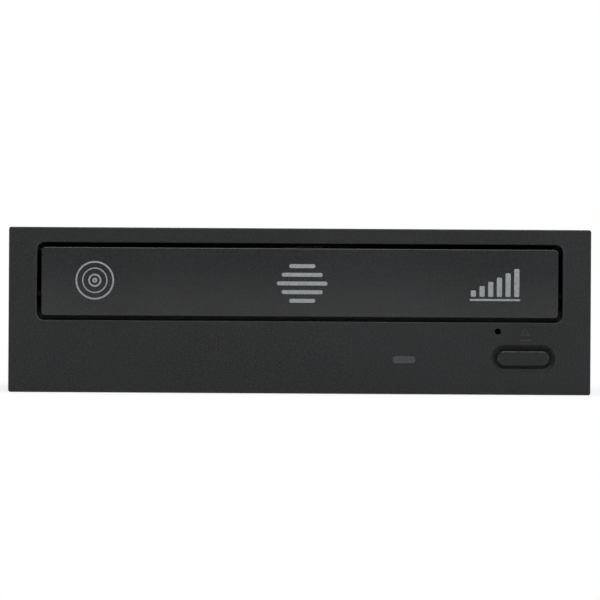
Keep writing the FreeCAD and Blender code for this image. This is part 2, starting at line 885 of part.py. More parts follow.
def make_front_panel():
    """A moulded shell with a collar round each opening and six latches that hook into the case."""
    panel = Piece("front_panel")
    front = -S.panel_depth
    half = S.panel_width / 2
    hollow = S.panel_depth - S.panel_wall
    panel.pad(panel.outline("XZ").rectangle(-half, 0, S.panel_width, S.panel_height), S.panel_depth, "-y")
    panel.fillet(S.panel_corner, along("Y"))
    panel.fillet(S.panel_edge, flat_at("Y", front.number))
    inside = panel.outline("XZ").rectangle(
        S.panel_wall - half,
        S.panel_wall,
        S.panel_width - S.panel_wall * 2,
        S.panel_height - S.panel_wall * 2,
    )
    panel.cut(inside, hollow, "-y")
    # Collars are added back inside the hollow, then each opening is cut through
    collar = panel.outline("XZ")
    collar.rounded(
        -S.opening_width / 2 - S.opening_collar,
        S.opening_sill - S.opening_collar,
        S.opening_width + S.opening_collar * 2,
        S.opening_height + S.opening_collar * 2,
        S.opening_radius + S.opening_collar,
    )
    panel.pad(collar, hollow + S.panel_wall / 2, "-y")
    hole_length = S.button_length + S.button_gap * 2
    hole_height = S.button_height + S.button_gap * 2
    rim = S.opening_collar * 2 + S.button_dish
    bosses = panel.outline("XZ")
    bosses.slot(S.button_across, S.button_up, hole_length + rim, hole_height + rim)
    bosses.rounded(
        S.lamp_across - S.lamp_width / 2 - S.opening_collar,
        S.lamp_up - S.lamp_height / 2 - S.opening_collar,
        S.lamp_width + S.opening_collar * 2,
        S.lamp_height + S.opening_collar * 2,
        S.lamp_radius + S.opening_collar,
    )
    panel.pad(bosses, hollow + S.panel_wall / 2, "-y")
    tube = panel.outline("XZ").circle(S.release_across, S.release_up, S.release_radius + S.opening_collar)
    panel.pad(tube, hollow + S.panel_wall / 2, "-y")
    openings = panel.outline("XZ")
    openings.rounded(
        -S.opening_width / 2, S.opening_sill, S.opening_width, S.opening_height, S.opening_radius
    )
    panel.cut_through(openings)
    small = panel.outline("XZ")
    small.slot(S.button_across, S.button_up, hole_length, hole_height)
    small.rounded(
        S.lamp_across - S.lamp_width / 2,
        S.lamp_up - S.lamp_height / 2,
        S.lamp_width,
        S.lamp_height,
        S.lamp_radius,
    )
    small.circle(S.release_across, S.release_up, S.release_radius)
    panel.cut_through(small)
    # The collar of the button is cut short, so that the button's flange can sit behind it
    flange_seat = panel.outline("XZ").slot(
        S.button_across,
        S.button_up,
        hole_length + S.button_flange * 2,
        hole_height + S.button_flange * 2,
    )
    panel.cut(flange_seat, hollow, "-y")
    at_front = flat_at("Y", front.number)

    def opening_rim(edge):
        box = edge.BoundBox
        inside_opening = box.XMax < S.opening_width.number / 2 + NEAR
        return at_front(edge) and inside_opening and box.ZMin > S.opening_sill.number - NEAR

    def button_rim(edge):
        box = edge.BoundBox
        near = abs(box.Center.x - S.button_across.number) < S.button_length.number
        return at_front(edge) and near and box.ZMax < (S.button_up + S.button_height).number

    panel.fillet(S.opening_edge, opening_rim)
    panel.chamfer(S.button_dish, button_rim)
    # Latches under the roof and over the floor of the case
    inner_roof = CASE_ROOF - S.case_sheet - S.fit_gap
    floor = S.case_sheet + S.fit_gap
    latch_start = -hollow
    for bottom, hook_bottom in (
        (inner_roof - S.latch_wall, inner_roof - S.latch_wall / 2),
        (floor, floor - S.latch_hook),
    ):
        arm = panel.outline("XZ", latch_start)
        arm.rectangle(-S.latch_across - S.latch_width / 2, bottom, S.latch_width, S.latch_wall)
        arm.rectangle(S.latch_across - S.latch_width / 2, bottom, S.latch_width, S.latch_wall)
        panel.pad(arm, hollow + S.latch_reach, "+y")
        hook = panel.outline("XZ", S.latch_reach)
        hook_height = S.latch_wall / 2 + S.latch_hook
        for side in SIDES:
            middle = S.latch_across * side
            hook.rectangle(middle - S.latch_width / 2, hook_bottom, S.latch_width, hook_height)
        panel.pad(hook, S.latch_wall, "-y")
    # Latches inside the two side walls
    side_face = CASE_INSIDE - S.fit_gap
    arm = panel.outline("XZ", latch_start)
    for left in (-side_face, side_face - S.latch_wall):
        arm.rectangle(left, S.side_latch_up - S.side_latch_height / 2, S.latch_wall, S.side_latch_height)
    panel.pad(arm, hollow + S.latch_reach, "+y")
    hook = panel.outline("XZ", S.latch_reach)
    for left in (-side_face - S.latch_hook, side_face - S.latch_wall / 2):
        hook.rectangle(
            left,
            S.side_latch_up - S.side_latch_height / 2,
            S.latch_wall / 2 + S.latch_hook,
            S.side_latch_height,
        )
    panel.pad(hook, S.latch_wall, "-y")


def make_tray_door():
    """The door that closes the opening: a thin crowned shell that clips on the front of the tray."""
    door = Piece("tray_door")
    face = -S.panel_depth - S.door_proud
    middle = DOOR_BOTTOM + DOOR_HEIGHT / 2
    half = DOOR_WIDTH / 2
    block = door.outline("XZ", DOOR_BACK)
    block.rounded(-half, DOOR_BOTTOM, DOOR_WIDTH, DOOR_HEIGHT, S.door_radius)
    door.pad(block, S.door_depth + S.door_crown, "-y")
    # The front is crowned from top to bottom: an arc through both edges and the middle is cut along X
    crown = door.outline("YZ", -half)
    edge_low = Vector(face.number, DOOR_BOTTOM.number, 0)
    edge_high = Vector(face.number, (DOOR_BOTTOM + DOOR_HEIGHT).number, 0)
    peak = Vector((face - S.door_crown).number, middle.number, 0)
    bow = Part.Arc(edge_low, peak, edge_high)
    sketch = crown.sketch
    sketch.addGeometry(bow, False)
    ahead = face - S.door_crown - 1
    corners = [
        Vector(ahead.number, edge_high.y, 0),
        Vector(ahead.number, edge_low.y, 0),
    ]
    sketch.addGeometry(Part.LineSegment(edge_high, corners[0]), False)
    sketch.addGeometry(Part.LineSegment(corners[0], corners[1]), False)
    sketch.addGeometry(Part.LineSegment(corners[1], edge_low), False)
    arc_low = 1 if (sketch.getPoint(0, 1) - edge_low).Length < 1e-6 else 2
    arc_high = 3 - arc_low
    crown.tie("Coincident", 0, arc_high, 1, 1)
    crown.tie("Coincident", 1, 2, 2, 1)
    crown.tie("Coincident", 2, 2, 3, 1)
    crown.tie("Coincident", 3, 2, 0, arc_low)
    crown.pin(0, arc_low, face, DOOR_BOTTOM)
    crown.pin(0, arc_high, face, DOOR_BOTTOM + DOOR_HEIGHT)
    crown.pin(1, 2, ahead, DOOR_BOTTOM + DOOR_HEIGHT)
    crown.pin(2, 2, ahead, DOOR_BOTTOM)
    bow_radius = (DOOR_HEIGHT * DOOR_HEIGHT / 4 + S.door_crown * S.door_crown) / (S.door_crown * 2)
    crown.limit("Radius", 0, bow_radius)
    door.cut(crown, DOOR_WIDTH, "+x")
    limit = face.number + NEAR

    def front_rim(edge):
        box = edge.BoundBox
        return box.YMax < limit and not (box.YMin < face.number - NEAR * 2 and box.XLength > 1)

    door.fillet(S.door_edge, front_rim)
    hollow = door.outline("XZ", DOOR_BACK)
    hollow.rectangle(
        S.door_wall - half,
        DOOR_BOTTOM + S.door_wall,
        DOOR_WIDTH - S.door_wall * 2,
        DOOR_HEIGHT - S.door_wall * 2,
    )
    door.cut(hollow, S.door_depth - S.door_wall, "-y")
    # Ribs stiffen the hollow and carry the tray's front edge
    ribs = door.outline("XZ", DOOR_BACK)
    for across in (-S.door_rib_outer, -S.door_rib_inner, S.door_rib_inner, S.door_rib_outer):
        ribs.rectangle(
            across - S.door_wall / 2,
            DOOR_BOTTOM + S.door_wall / 2,
            S.door_wall,
            DOOR_HEIGHT - S.door_wall,
        )
    door.pad(ribs, S.door_depth - S.door_wall / 2, "-y")


def make_button():
    """The eject button: a stadium cap, a flange that stops it from falling out, and a stem to the switch."""
    button = Piece("eject_button")
    front = -S.panel_depth
    cap = button.outline("XZ", front)
    cap.slot(S.button_across, S.button_up, S.button_length, S.button_height)
    button.pad(cap, S.panel_depth - S.button_flange, "+y")
    button.fillet(S.button_edge, flat_at("Y", front.number))
    # Behind the wall the flange is wider than the hole, and it stands one small gap clear of the wall
    flange_front = S.panel_wall - S.panel_depth + S.fit_gap
    flange = button.outline("XZ", flange_front)
    flange.slot(
        S.button_across,
        S.button_up,
        S.button_length + S.button_gap * 2 + S.button_flange,
        S.button_height + S.button_gap * 2 + S.button_flange,
    )
    button.pad(flange, S.button_flange, "+y")
    stem = button.outline("XZ", flange_front).circle(S.button_across, S.button_up, S.stem_radius)
    switch_face = S.front_board_back - S.button_travel - S.switch_depth
    button.pad(stem, switch_face - flange_front, "+y")


def make_lamp_window():
    """The light pipe that fills the slot in the panel and runs back to the lamp on the front board."""
    lamp = Piece("lamp_window")
    front = -S.panel_depth
    pipe = lamp.outline("XZ", front)
    pipe.rounded(
        S.lamp_across - S.lamp_width / 2 + S.fit_gap / 2,
        S.lamp_up - S.lamp_height / 2 + S.fit_gap / 2,
        S.lamp_width - S.fit_gap,
        S.lamp_height - S.fit_gap,
        S.lamp_radius - S.fit_gap / 2,
    )
    lamp.pad(pipe, S.panel_depth + S.chassis_start, "+y")
    head = lamp.outline("XZ", 0)
    head.rounded(
        S.lamp_across - S.lamp_width / 2 - S.opening_collar / 2,
        S.lamp_up - S.lamp_height / 2 - S.opening_collar / 2,
        S.lamp_width + S.opening_collar,
        S.lamp_height + S.opening_collar,
        S.lamp_radius + S.opening_collar / 2,
    )
    lamp.pad(head, S.chassis_start - S.fit_gap, "+y")


# Metal case


def make_top_cover():
    """One sheet folded over the roof, the sides and part of the rear, with pressed panels and holes."""
    cover = Piece("top_cover")
    sheet = S.case_sheet
    roof = CASE_ROOF
    fold = cover.outline("XZ")
    fold.polygon(
        (-HALF_CASE, 0),
        (-HALF_CASE, roof),
        (HALF_CASE, roof),
        (HALF_CASE, 0),
        (CASE_INSIDE, 0),
        (CASE_INSIDE, roof - sheet),
        (-CASE_INSIDE, roof - sheet),
        (-CASE_INSIDE, 0),
    )
    cover.pad(fold, S.case_depth, "+y")
    rear = cover.outline("XZ", S.case_depth)
    rear.rectangle(-CASE_INSIDE, S.rear_fold_bottom, CASE_INSIDE * 2, roof - sheet - S.rear_fold_bottom)
    cover.pad(rear, sheet, "-y")

    def outer_bend(edge):
        box = edge.BoundBox
        return box.ZMin > roof.number - NEAR and (
            abs(abs(box.Center.x) - HALF_CASE.number) < NEAR or box.YMin > S.case_depth.number - NEAR
        )

    def inner_bend(edge):
        box = edge.BoundBox
        level = (roof - sheet).number
        long_edge = box.YLength > S.case_depth.number * 0.9
        return abs(box.ZMin - level) < NEAR and abs(box.ZMax - level) < NEAR and long_edge and (
            abs(abs(box.Center.x) - CASE_INSIDE.number) < NEAR
        )

    cover.fillet(S.case_bend, outer_bend)
    cover.fillet(S.case_bend - sheet, inner_bend)
    # A raised panel stiffens the roof, with a round recess over the clamp
    left = S.emboss_inset - HALF_CASE
    width = S.case_width - S.emboss_inset * 2
    length = S.case_depth - S.emboss_front - S.emboss_rear
    raised = cover.outline("XY", roof)
    raised.rounded(left, S.emboss_front, width, length, S.emboss_radius)
    cover.pad(raised, S.emboss_height, "+z")
    under = cover.outline("XY", roof - sheet)
    under.rounded(
        left + sheet,
        S.emboss_front + sheet,
        width - sheet * 2,
        length - sheet * 2,
        S.emboss_radius - sheet,
    )
    cover.cut(under, S.emboss_height, "+z")
    recess = cover.outline("XY", roof - sheet)
    recess.circle(0, S.spindle_back, S.crown_recess_radius + sheet)
    cover.pad(recess, S.emboss_height, "+z")
    sunk = cover.outline("XY", S.case_height).circle(0, S.spindle_back, S.crown_recess_radius)
    cover.cut(sunk, S.emboss_height, "-z")
    cover.fillet(S.emboss_height * 0.8, flat_at("Z", S.case_height.number))
    # Windows for the latches of the front panel
    windows = cover.outline("XY", roof)
    for side in SIDES:
        windows.rectangle(
            S.latch_across * side - S.latch_width / 2 - S.rail_gap,
            S.latch_reach - S.latch_wall - S.rail_gap,
            S.latch_width + S.rail_gap * 2,
            S.latch_wall + S.rail_gap * 2,
        )
    cover.cut(windows, sheet * 2, "-z")
    side_windows = cover.outline("YZ")
    side_windows.rectangle(
        S.latch_reach - S.latch_wall - S.rail_gap,
        S.side_latch_up - S.side_latch_height / 2 - S.rail_gap,
        S.latch_wall + S.rail_gap * 2,
        S.side_latch_height + S.rail_gap * 2,
    )
    cover.cut_through(side_windows)
    port = cover.outline("XZ", S.case_depth)
    port.rectangle(
        S.port_across - S.port_width / 2 - S.rail_gap * 2,
        S.rear_fold_bottom - 1,
        S.port_width + S.rail_gap * 4,
        S.board_up + S.board_sheet + S.port_height + S.rail_gap * 2 - S.rear_fold_bottom + 1,
    )
    cover.cut(port, sheet, "-y")
    # Each tapped hole has a collar drawn inwards from the sheet
    for side in SIDES:
        collars = cover.outline("YZ", CASE_INSIDE * side)
        for back, up in SIDE_HOLES:
            collars.circle(back, up, S.mount_hole_radius + S.mount_collar_wall)
        cover.pad(collars, sheet - S.fit_gap, "-x" if side > 0 else "+x")
    holes = cover.outline("YZ")
    for back, up in SIDE_HOLES:
        holes.circle(back, up, S.mount_hole_radius)
    cover.cut_through(holes)


def make_bottom_cover():
    """The floor of the case: a sheet with a heat pad, two stiffeners, six side tabs and a rear fold."""
    floor = Piece("bottom_cover")
    sheet = S.case_sheet
    edge = CASE_INSIDE - S.fit_gap / 2
    floor.pad(floor.outline("XY").rectangle(-edge, 0, edge * 2, S.case_depth), sheet, "+z")
    rise = floor.outline("XY", sheet)
    pressed = [
        (-S.heat_pad_width / 2, S.heat_pad_front, S.heat_pad_width, S.heat_pad_length),
        (-S.stiffener_length - S.stiffener_inner, S.first_hole, S.stiffener_length, S.stiffener_width),
        (S.stiffener_inner, S.first_hole, S.stiffener_length, S.stiffener_width),
    ]
    for left, front, width, length in pressed:
        rise.rounded(left, front, width, length, S.stiffener_width / 2 - S.fit_gap)
    floor.pad(rise, S.heat_pad_rise, "+z")
    sunk = floor.outline("XY")
    for left, front, width, length in pressed:
        sunk.rounded(
            left + sheet,
            front + sheet,
            width - sheet * 2,
            length - sheet * 2,
            S.stiffener_width / 2 - S.fit_gap - sheet,
        )
    floor.cut(sunk, S.heat_pad_rise, "+z")
    tabs = floor.outline("XY", sheet)
    for side in SIDES:
        left = edge - sheet if side > 0 else -edge
        for middle in (S.bottom_tab_front, S.bottom_tab_middle, S.bottom_tab_rear):
            tabs.rectangle(left, middle - S.bottom_tab_length / 2, sheet, S.bottom_tab_length)
    floor.pad(tabs, S.bottom_tab_height, "+z")
    rear = floor.outline("XZ", S.case_depth)
    rear.rectangle(-edge, sheet, edge * 2, S.bottom_fold_height - sheet)
    floor.pad(rear, sheet, "-y")
    collars = floor.outline("XY", sheet)
    for side in SIDES:
        for back in HOLE_ROWS:
            collars.circle(
                S.bottom_hole_across * side, back, S.mount_hole_radius + S.mount_collar_wall - S.fit_gap
            )
    floor.pad(collars, sheet, "+z")
    # The case screws sit in round dimples, so that their heads stay inside the underside
    dimple = S.case_screw_head + S.rail_gap
    case_screws = [
        (S.case_screw_across * side, back)
        for side in SIDES
        for back in (S.case_screw_front, S.case_screw_rear)
    ]
    floor.discs(case_screws, sheet, dimple + sheet, sheet)
    floor.discs(case_screws, 0, dimple, sheet, bore=True)
    holes = floor.outline("XY")
    for side in SIDES:
        for back in HOLE_ROWS:
            holes.circle(S.bottom_hole_across * side, back, S.mount_hole_radius)
        for back in (S.case_screw_front, S.case_screw_rear):
            holes.circle(S.case_screw_across * side, back, S.case_screw_radius + S.fit_gap)
        holes.rectangle(
            S.latch_across * side - S.latch_width / 2 - S.rail_gap,
            S.latch_reach - S.latch_wall - S.rail_gap,
            S.latch_width + S.rail_gap * 2,
            S.latch_wall + S.rail_gap * 2,
        )
    floor.cut_through(holes)


# Levels and places of the tray drive
GEAR_FLOOR = S.deck_top + S.gear_seat_gap
LOW_TIER_TOP = GEAR_FLOOR + S.low_tier_height
MID_TIER_BOTTOM = LOW_TIER_TOP + S.gear_seat_gap
MID_TIER_TOP = MID_TIER_BOTTOM + S.mid_tier_height
PINION_TOP = MID_TIER_TOP + S.pinion_height
PULLEY_BOTTOM = MID_TIER_TOP + S.gear_seat_gap + S.fit_gap
PULLEY_TOP = PULLEY_BOTTOM + S.pulley_height
DECK_BOTTOM = S.deck_top - S.deck_thickness
MIDDLE_STEP = S.train_module * (S.drive_wheel_teeth + S.middle_pinion_teeth) / 2
PULLEY_STEP = S.train_module * (S.middle_wheel_teeth + S.pulley_pinion_teeth) / 2


def bearing_of(angle, kind):
    number = math.radians(angle.number)
    return Size(f"{kind}({angle.text} * 1 deg)", math.cos(number) if kind == "cos" else math.sin(number))


MIDDLE_ACROSS = S.drive_across + MIDDLE_STEP * bearing_of(S.middle_bearing, "cos")
MIDDLE_BACK = S.drive_back + MIDDLE_STEP * bearing_of(S.middle_bearing, "sin")
PULLEY_ACROSS = MIDDLE_ACROSS + PULLEY_STEP * bearing_of(S.pulley_bearing, "cos")
PULLEY_BACK = MIDDLE_BACK + PULLEY_STEP * bearing_of(S.pulley_bearing, "sin")
DRIVE_PITCH_RADIUS = S.drive_pinion_module * S.drive_pinion_teeth / 2
ADDENDUM = 0.95
DEDENDUM = 1.2

# Levels and places of the lifting unit
PEG_DROP = (S.hinge_back - S.lift_front + S.cam_gap) * LOWER_SIN
PEG_LOW = S.hinge_up - PEG_DROP
CAM_REAR = S.lift_front - S.cam_gap
CAM_FRONT = CAM_REAR - S.cam_wall
LIFT_INSIDE = S.lift_half_width - S.lift_wall
BASE_TOP = S.base_up + S.base_sheet
LENS_BACK = S.spindle_back + S.lens_inner
SLED_FRONT = LENS_BACK - S.sled_front
SLED_REAR = LENS_BACK + S.sled_back
LUG_TOP = S.lift_bottom + S.lug_height
LUG_RADIUS = S.damper_radius + S.fit_gap
DAMPERS = [(S.damper_across * side, back) for back in (S.damper_front, S.damper_rear) for side in SIDES]
SCREW_UP = S.tray_underside - S.sled_motor_radius - S.base_sheet + S.screw_raise
CASE_SCREWS = [
    (S.case_screw_across * side, back)
    for back in (S.case_screw_front, S.case_screw_rear)
    for side in SIDES
]
BRIDGE_FRONT = S.spindle_back - S.bridge_width / 2
BRIDGE_SCREWS = [
    (S.bridge_screw_across * side, S.spindle_back + S.bridge_screw_back * end)
    for side in SIDES
    for end in SIDES
]
BOARD_TOP = S.board_up + S.board_sheet
BOARD_REAR = S.case_depth - S.case_sheet - S.rail_gap * 2
BOARD_SCREWS = [
    (S.board_screw_across * side, back)
    for back in (S.board_screw_front, S.board_screw_rear)
    for side in SIDES
]
FRONT_BOARD_SCREWS = (S.front_screw_left, S.front_screw_right)
MOTOR_SCREWS = [(S.motor_across + S.motor_screw_step * side, S.motor_back) for side in SIDES]


# Loader


def make_chassis():
    """The moulded frame: side walls with tray rails, the drive deck, hinge ears and screw bosses."""
    frame = Piece("loader_chassis")
    length = S.chassis_end - S.chassis_start
    inner = CHASSIS_INSIDE
    wall_back = S.chassis_start + S.chassis_wall
    frame.block(-CHASSIS_OUTSIDE, wall_back, DECK_BOTTOM, CHASSIS_OUTSIDE * 2,
                S.deck_end - wall_back, S.deck_thickness)
    frame.pair(S.opening_half, wall_back, DECK_BOTTOM, CHASSIS_OUTSIDE - S.opening_half,
               S.strip_end - wall_back, S.deck_thickness)
    tall = S.chassis_top - S.chassis_bottom
    frame.pair(inner, S.chassis_start, S.chassis_bottom, S.chassis_wall, length, tall)
    # The rear wall starts just above the port, so that no light shows between them
    rear_bottom = BOARD_TOP + S.port_height + S.rail_gap
    frame.block(-inner, S.chassis_end - S.chassis_wall, rear_bottom, inner * 2, S.chassis_wall,
                S.rear_wall_top - rear_bottom)
    # Rails above and below the ribs of the tray
    rail_inside = S.tray_width / 2 + S.rail_gap
    rail_width = inner - rail_inside
    low_rail = S.rail_up - S.rail_height / 2 - S.rail_gap - S.rail_rib
    high_rail = S.rail_up + S.rail_height / 2 + S.rail_gap
    for bottom in (low_rail, high_rail):
        frame.pair(rail_inside, wall_back, bottom, rail_width, S.rail_length, S.rail_rib)
    # Seats for the clamp bridge
    seats = frame.outline("XY", S.rail_up + S.rail_height)
    for across, back in BRIDGE_SCREWS:
        left = inner - S.bridge_seat if across.number > 0 else -inner
        seats.rectangle(left, back - S.bridge_seat, S.bridge_seat, S.bridge_seat * 2)
    frame.pad(seats, S.chassis_top - S.rail_up - S.rail_height, "+z")
    # Ears that carry the hinge pins of the lifting unit
    ear_front = S.hinge_back - S.ear_height / 2
    frame.pair(S.lift_half_width + S.ear_gap, ear_front, S.hinge_up - S.ear_height / 2, S.ear_wall,
               S.chassis_end - S.chassis_wall / 2 - ear_front, S.ear_height)
    # Bosses for the case screws, and blocks for the screws of the main board
    case_boss_bottom = S.case_sheet * 2 + S.fit_gap
    frame.discs(CASE_SCREWS, case_boss_bottom, S.boss_radius, DECK_BOTTOM - case_boss_bottom)
    blocks = frame.outline("XY", BOARD_TOP + S.fit_gap)
    for across, back in BOARD_SCREWS:
        left = across - S.boss_radius if across.number > 0 else -inner
        wide = inner - abs_size(across) + S.boss_radius
        blocks.rectangle(left, back - S.boss_radius, wide, S.boss_radius * 2)
    frame.pad(blocks, DECK_BOTTOM - BOARD_TOP - S.fit_gap, "+z")
    board_back = S.front_board_back + S.front_board_sheet
    ribs = frame.outline("XY", S.front_rib_bottom)
    for across in FRONT_BOARD_SCREWS:
        left = across - S.boss_radius / 2 - S.rib_margin
        ribs.rectangle(left, board_back, S.boss_radius + S.rib_margin * 2, S.boss_radius)
    frame.pad(ribs, DECK_BOTTOM - S.front_rib_bottom, "+z")
    # Posts for the gears, each with a head that keeps its gear on
    posts = (
        (S.drive_across, S.drive_back, PINION_TOP),
        (MIDDLE_ACROSS, MIDDLE_BACK, MID_TIER_TOP),
        (PULLEY_ACROSS, PULLEY_BACK, PULLEY_TOP),
    )
    for across, back, top in posts:
        frame.disc(across, back, S.deck_top, S.gear_post_radius, top + S.fit_gap * 2 - S.deck_top)
        frame.disc(across, back, S.deck_top, S.gear_post_radius * 2, S.gear_seat_gap)
        frame.disc(across, back, top + S.fit_gap, S.gear_post_radius + S.post_lip, S.post_head)
    # Hooks that hold the cam slider down on the deck
    hook_front = CAM_FRONT - S.cam_flange - S.rail_gap - S.hook_wall
    flange_top = S.deck_top + S.gear_seat_gap + S.cam_foot_height
    hook_posts = frame.outline("XY", S.deck_top)
    hook_lips = frame.outline("XY", flange_top + S.rail_gap)
    for across in (S.hook_left, S.hook_right):
        hook_posts.rectangle(across, hook_front, S.hook_width, S.hook_wall)
        hook_lips.rectangle(across, hook_front, S.hook_width, S.hook_wall * 2 + S.rail_gap)
    frame.pad(hook_posts, flange_top + S.rail_gap + S.hook_wall - S.deck_top, "+z")
    frame.pad(hook_lips, S.hook_wall, "+z")
    # Holes in the deck for the motor
    frame.bore(S.motor_across, S.motor_back, DECK_BOTTOM, S.motor_boss_radius + S.fit_gap, S.deck_thickness)
    frame.discs(MOTOR_SCREWS, DECK_BOTTOM, S.small_screw_radius + S.fit_gap, S.deck_thickness, bore=True)
    # Room for the side latches of the front panel
    notch_depth = S.latch_wall + S.chassis_wall
    for side in SIDES:
        start = CHASSIS_INSIDE - S.rail_gap
        notch = frame.outline("YZ", start * side)
        notch.rectangle(
            0,
            S.side_latch_up - S.side_latch_height / 2 - S.rail_gap,
            S.latch_reach + S.rail_gap,
            S.side_latch_height + S.rail_gap * 2,
        )
        frame.cut(notch, notch_depth, "+x" if side > 0 else "-x")
    # Clearance for the mounting screws, and bores for hinge pins and self-tapping screws
    sides = frame.outline("YZ")
    for back, up in SIDE_HOLES:
        sides.circle(back, up, S.mount_clearance)
    frame.cut_through(sides)
    for side in SIDES:
        hinge = frame.outline("YZ", S.lift_half_width * side)
        hinge.circle(S.hinge_back, S.hinge_up, S.hinge_pin_radius + S.hinge_clearance)
        frame.cut(hinge, S.ear_gap + S.ear_wall, "+x" if side > 0 else "-x")
    screw_hole = S.case_screw_radius + S.fit_gap
    frame.discs(CASE_SCREWS, case_boss_bottom, screw_hole, S.case_screw_length, bore=True)
    pilot = S.small_screw_radius + S.fit_gap
    frame.discs(BOARD_SCREWS, BOARD_TOP, pilot, S.board_screw_length, bore=True)
    frame.discs(BRIDGE_SCREWS, S.chassis_top - S.bridge_screw_length, pilot, S.bridge_screw_length, bore=True)
    front_pilots = frame.outline("XZ", board_back)
    for across in FRONT_BOARD_SCREWS:
        front_pilots.circle(across, S.front_screw_up, pilot)
    frame.cut(front_pilots, S.boss_radius, "+y")


def make_chassis_front():
    """The front wall of the frame, with holes for the button's stem, the lamp and the release pin."""
    wall = Piece("chassis_front")
    wall.block(-CHASSIS_INSIDE, S.chassis_start, S.front_wall_bottom, CHASSIS_INSIDE * 2, S.chassis_wall,
               S.front_wall_top - S.front_wall_bottom)
    holes = wall.outline("XZ", S.chassis_start)
    holes.circle(S.button_across, S.button_up, S.stem_radius + S.rail_gap)
    holes.circle(S.release_across, S.release_up, S.release_radius)
    holes.rounded(
        S.lamp_across - S.lamp_width / 2 - S.rail_gap,
        S.lamp_up - S.lamp_height / 2 - S.rail_gap,
        S.lamp_width + S.rail_gap * 2,
        S.lamp_height + S.rail_gap * 2,
        S.lamp_radius,
    )
    wall.cut(holes, S.chassis_wall, "+y")


def abs_size(size):
    return size if size.number >= 0 else -size


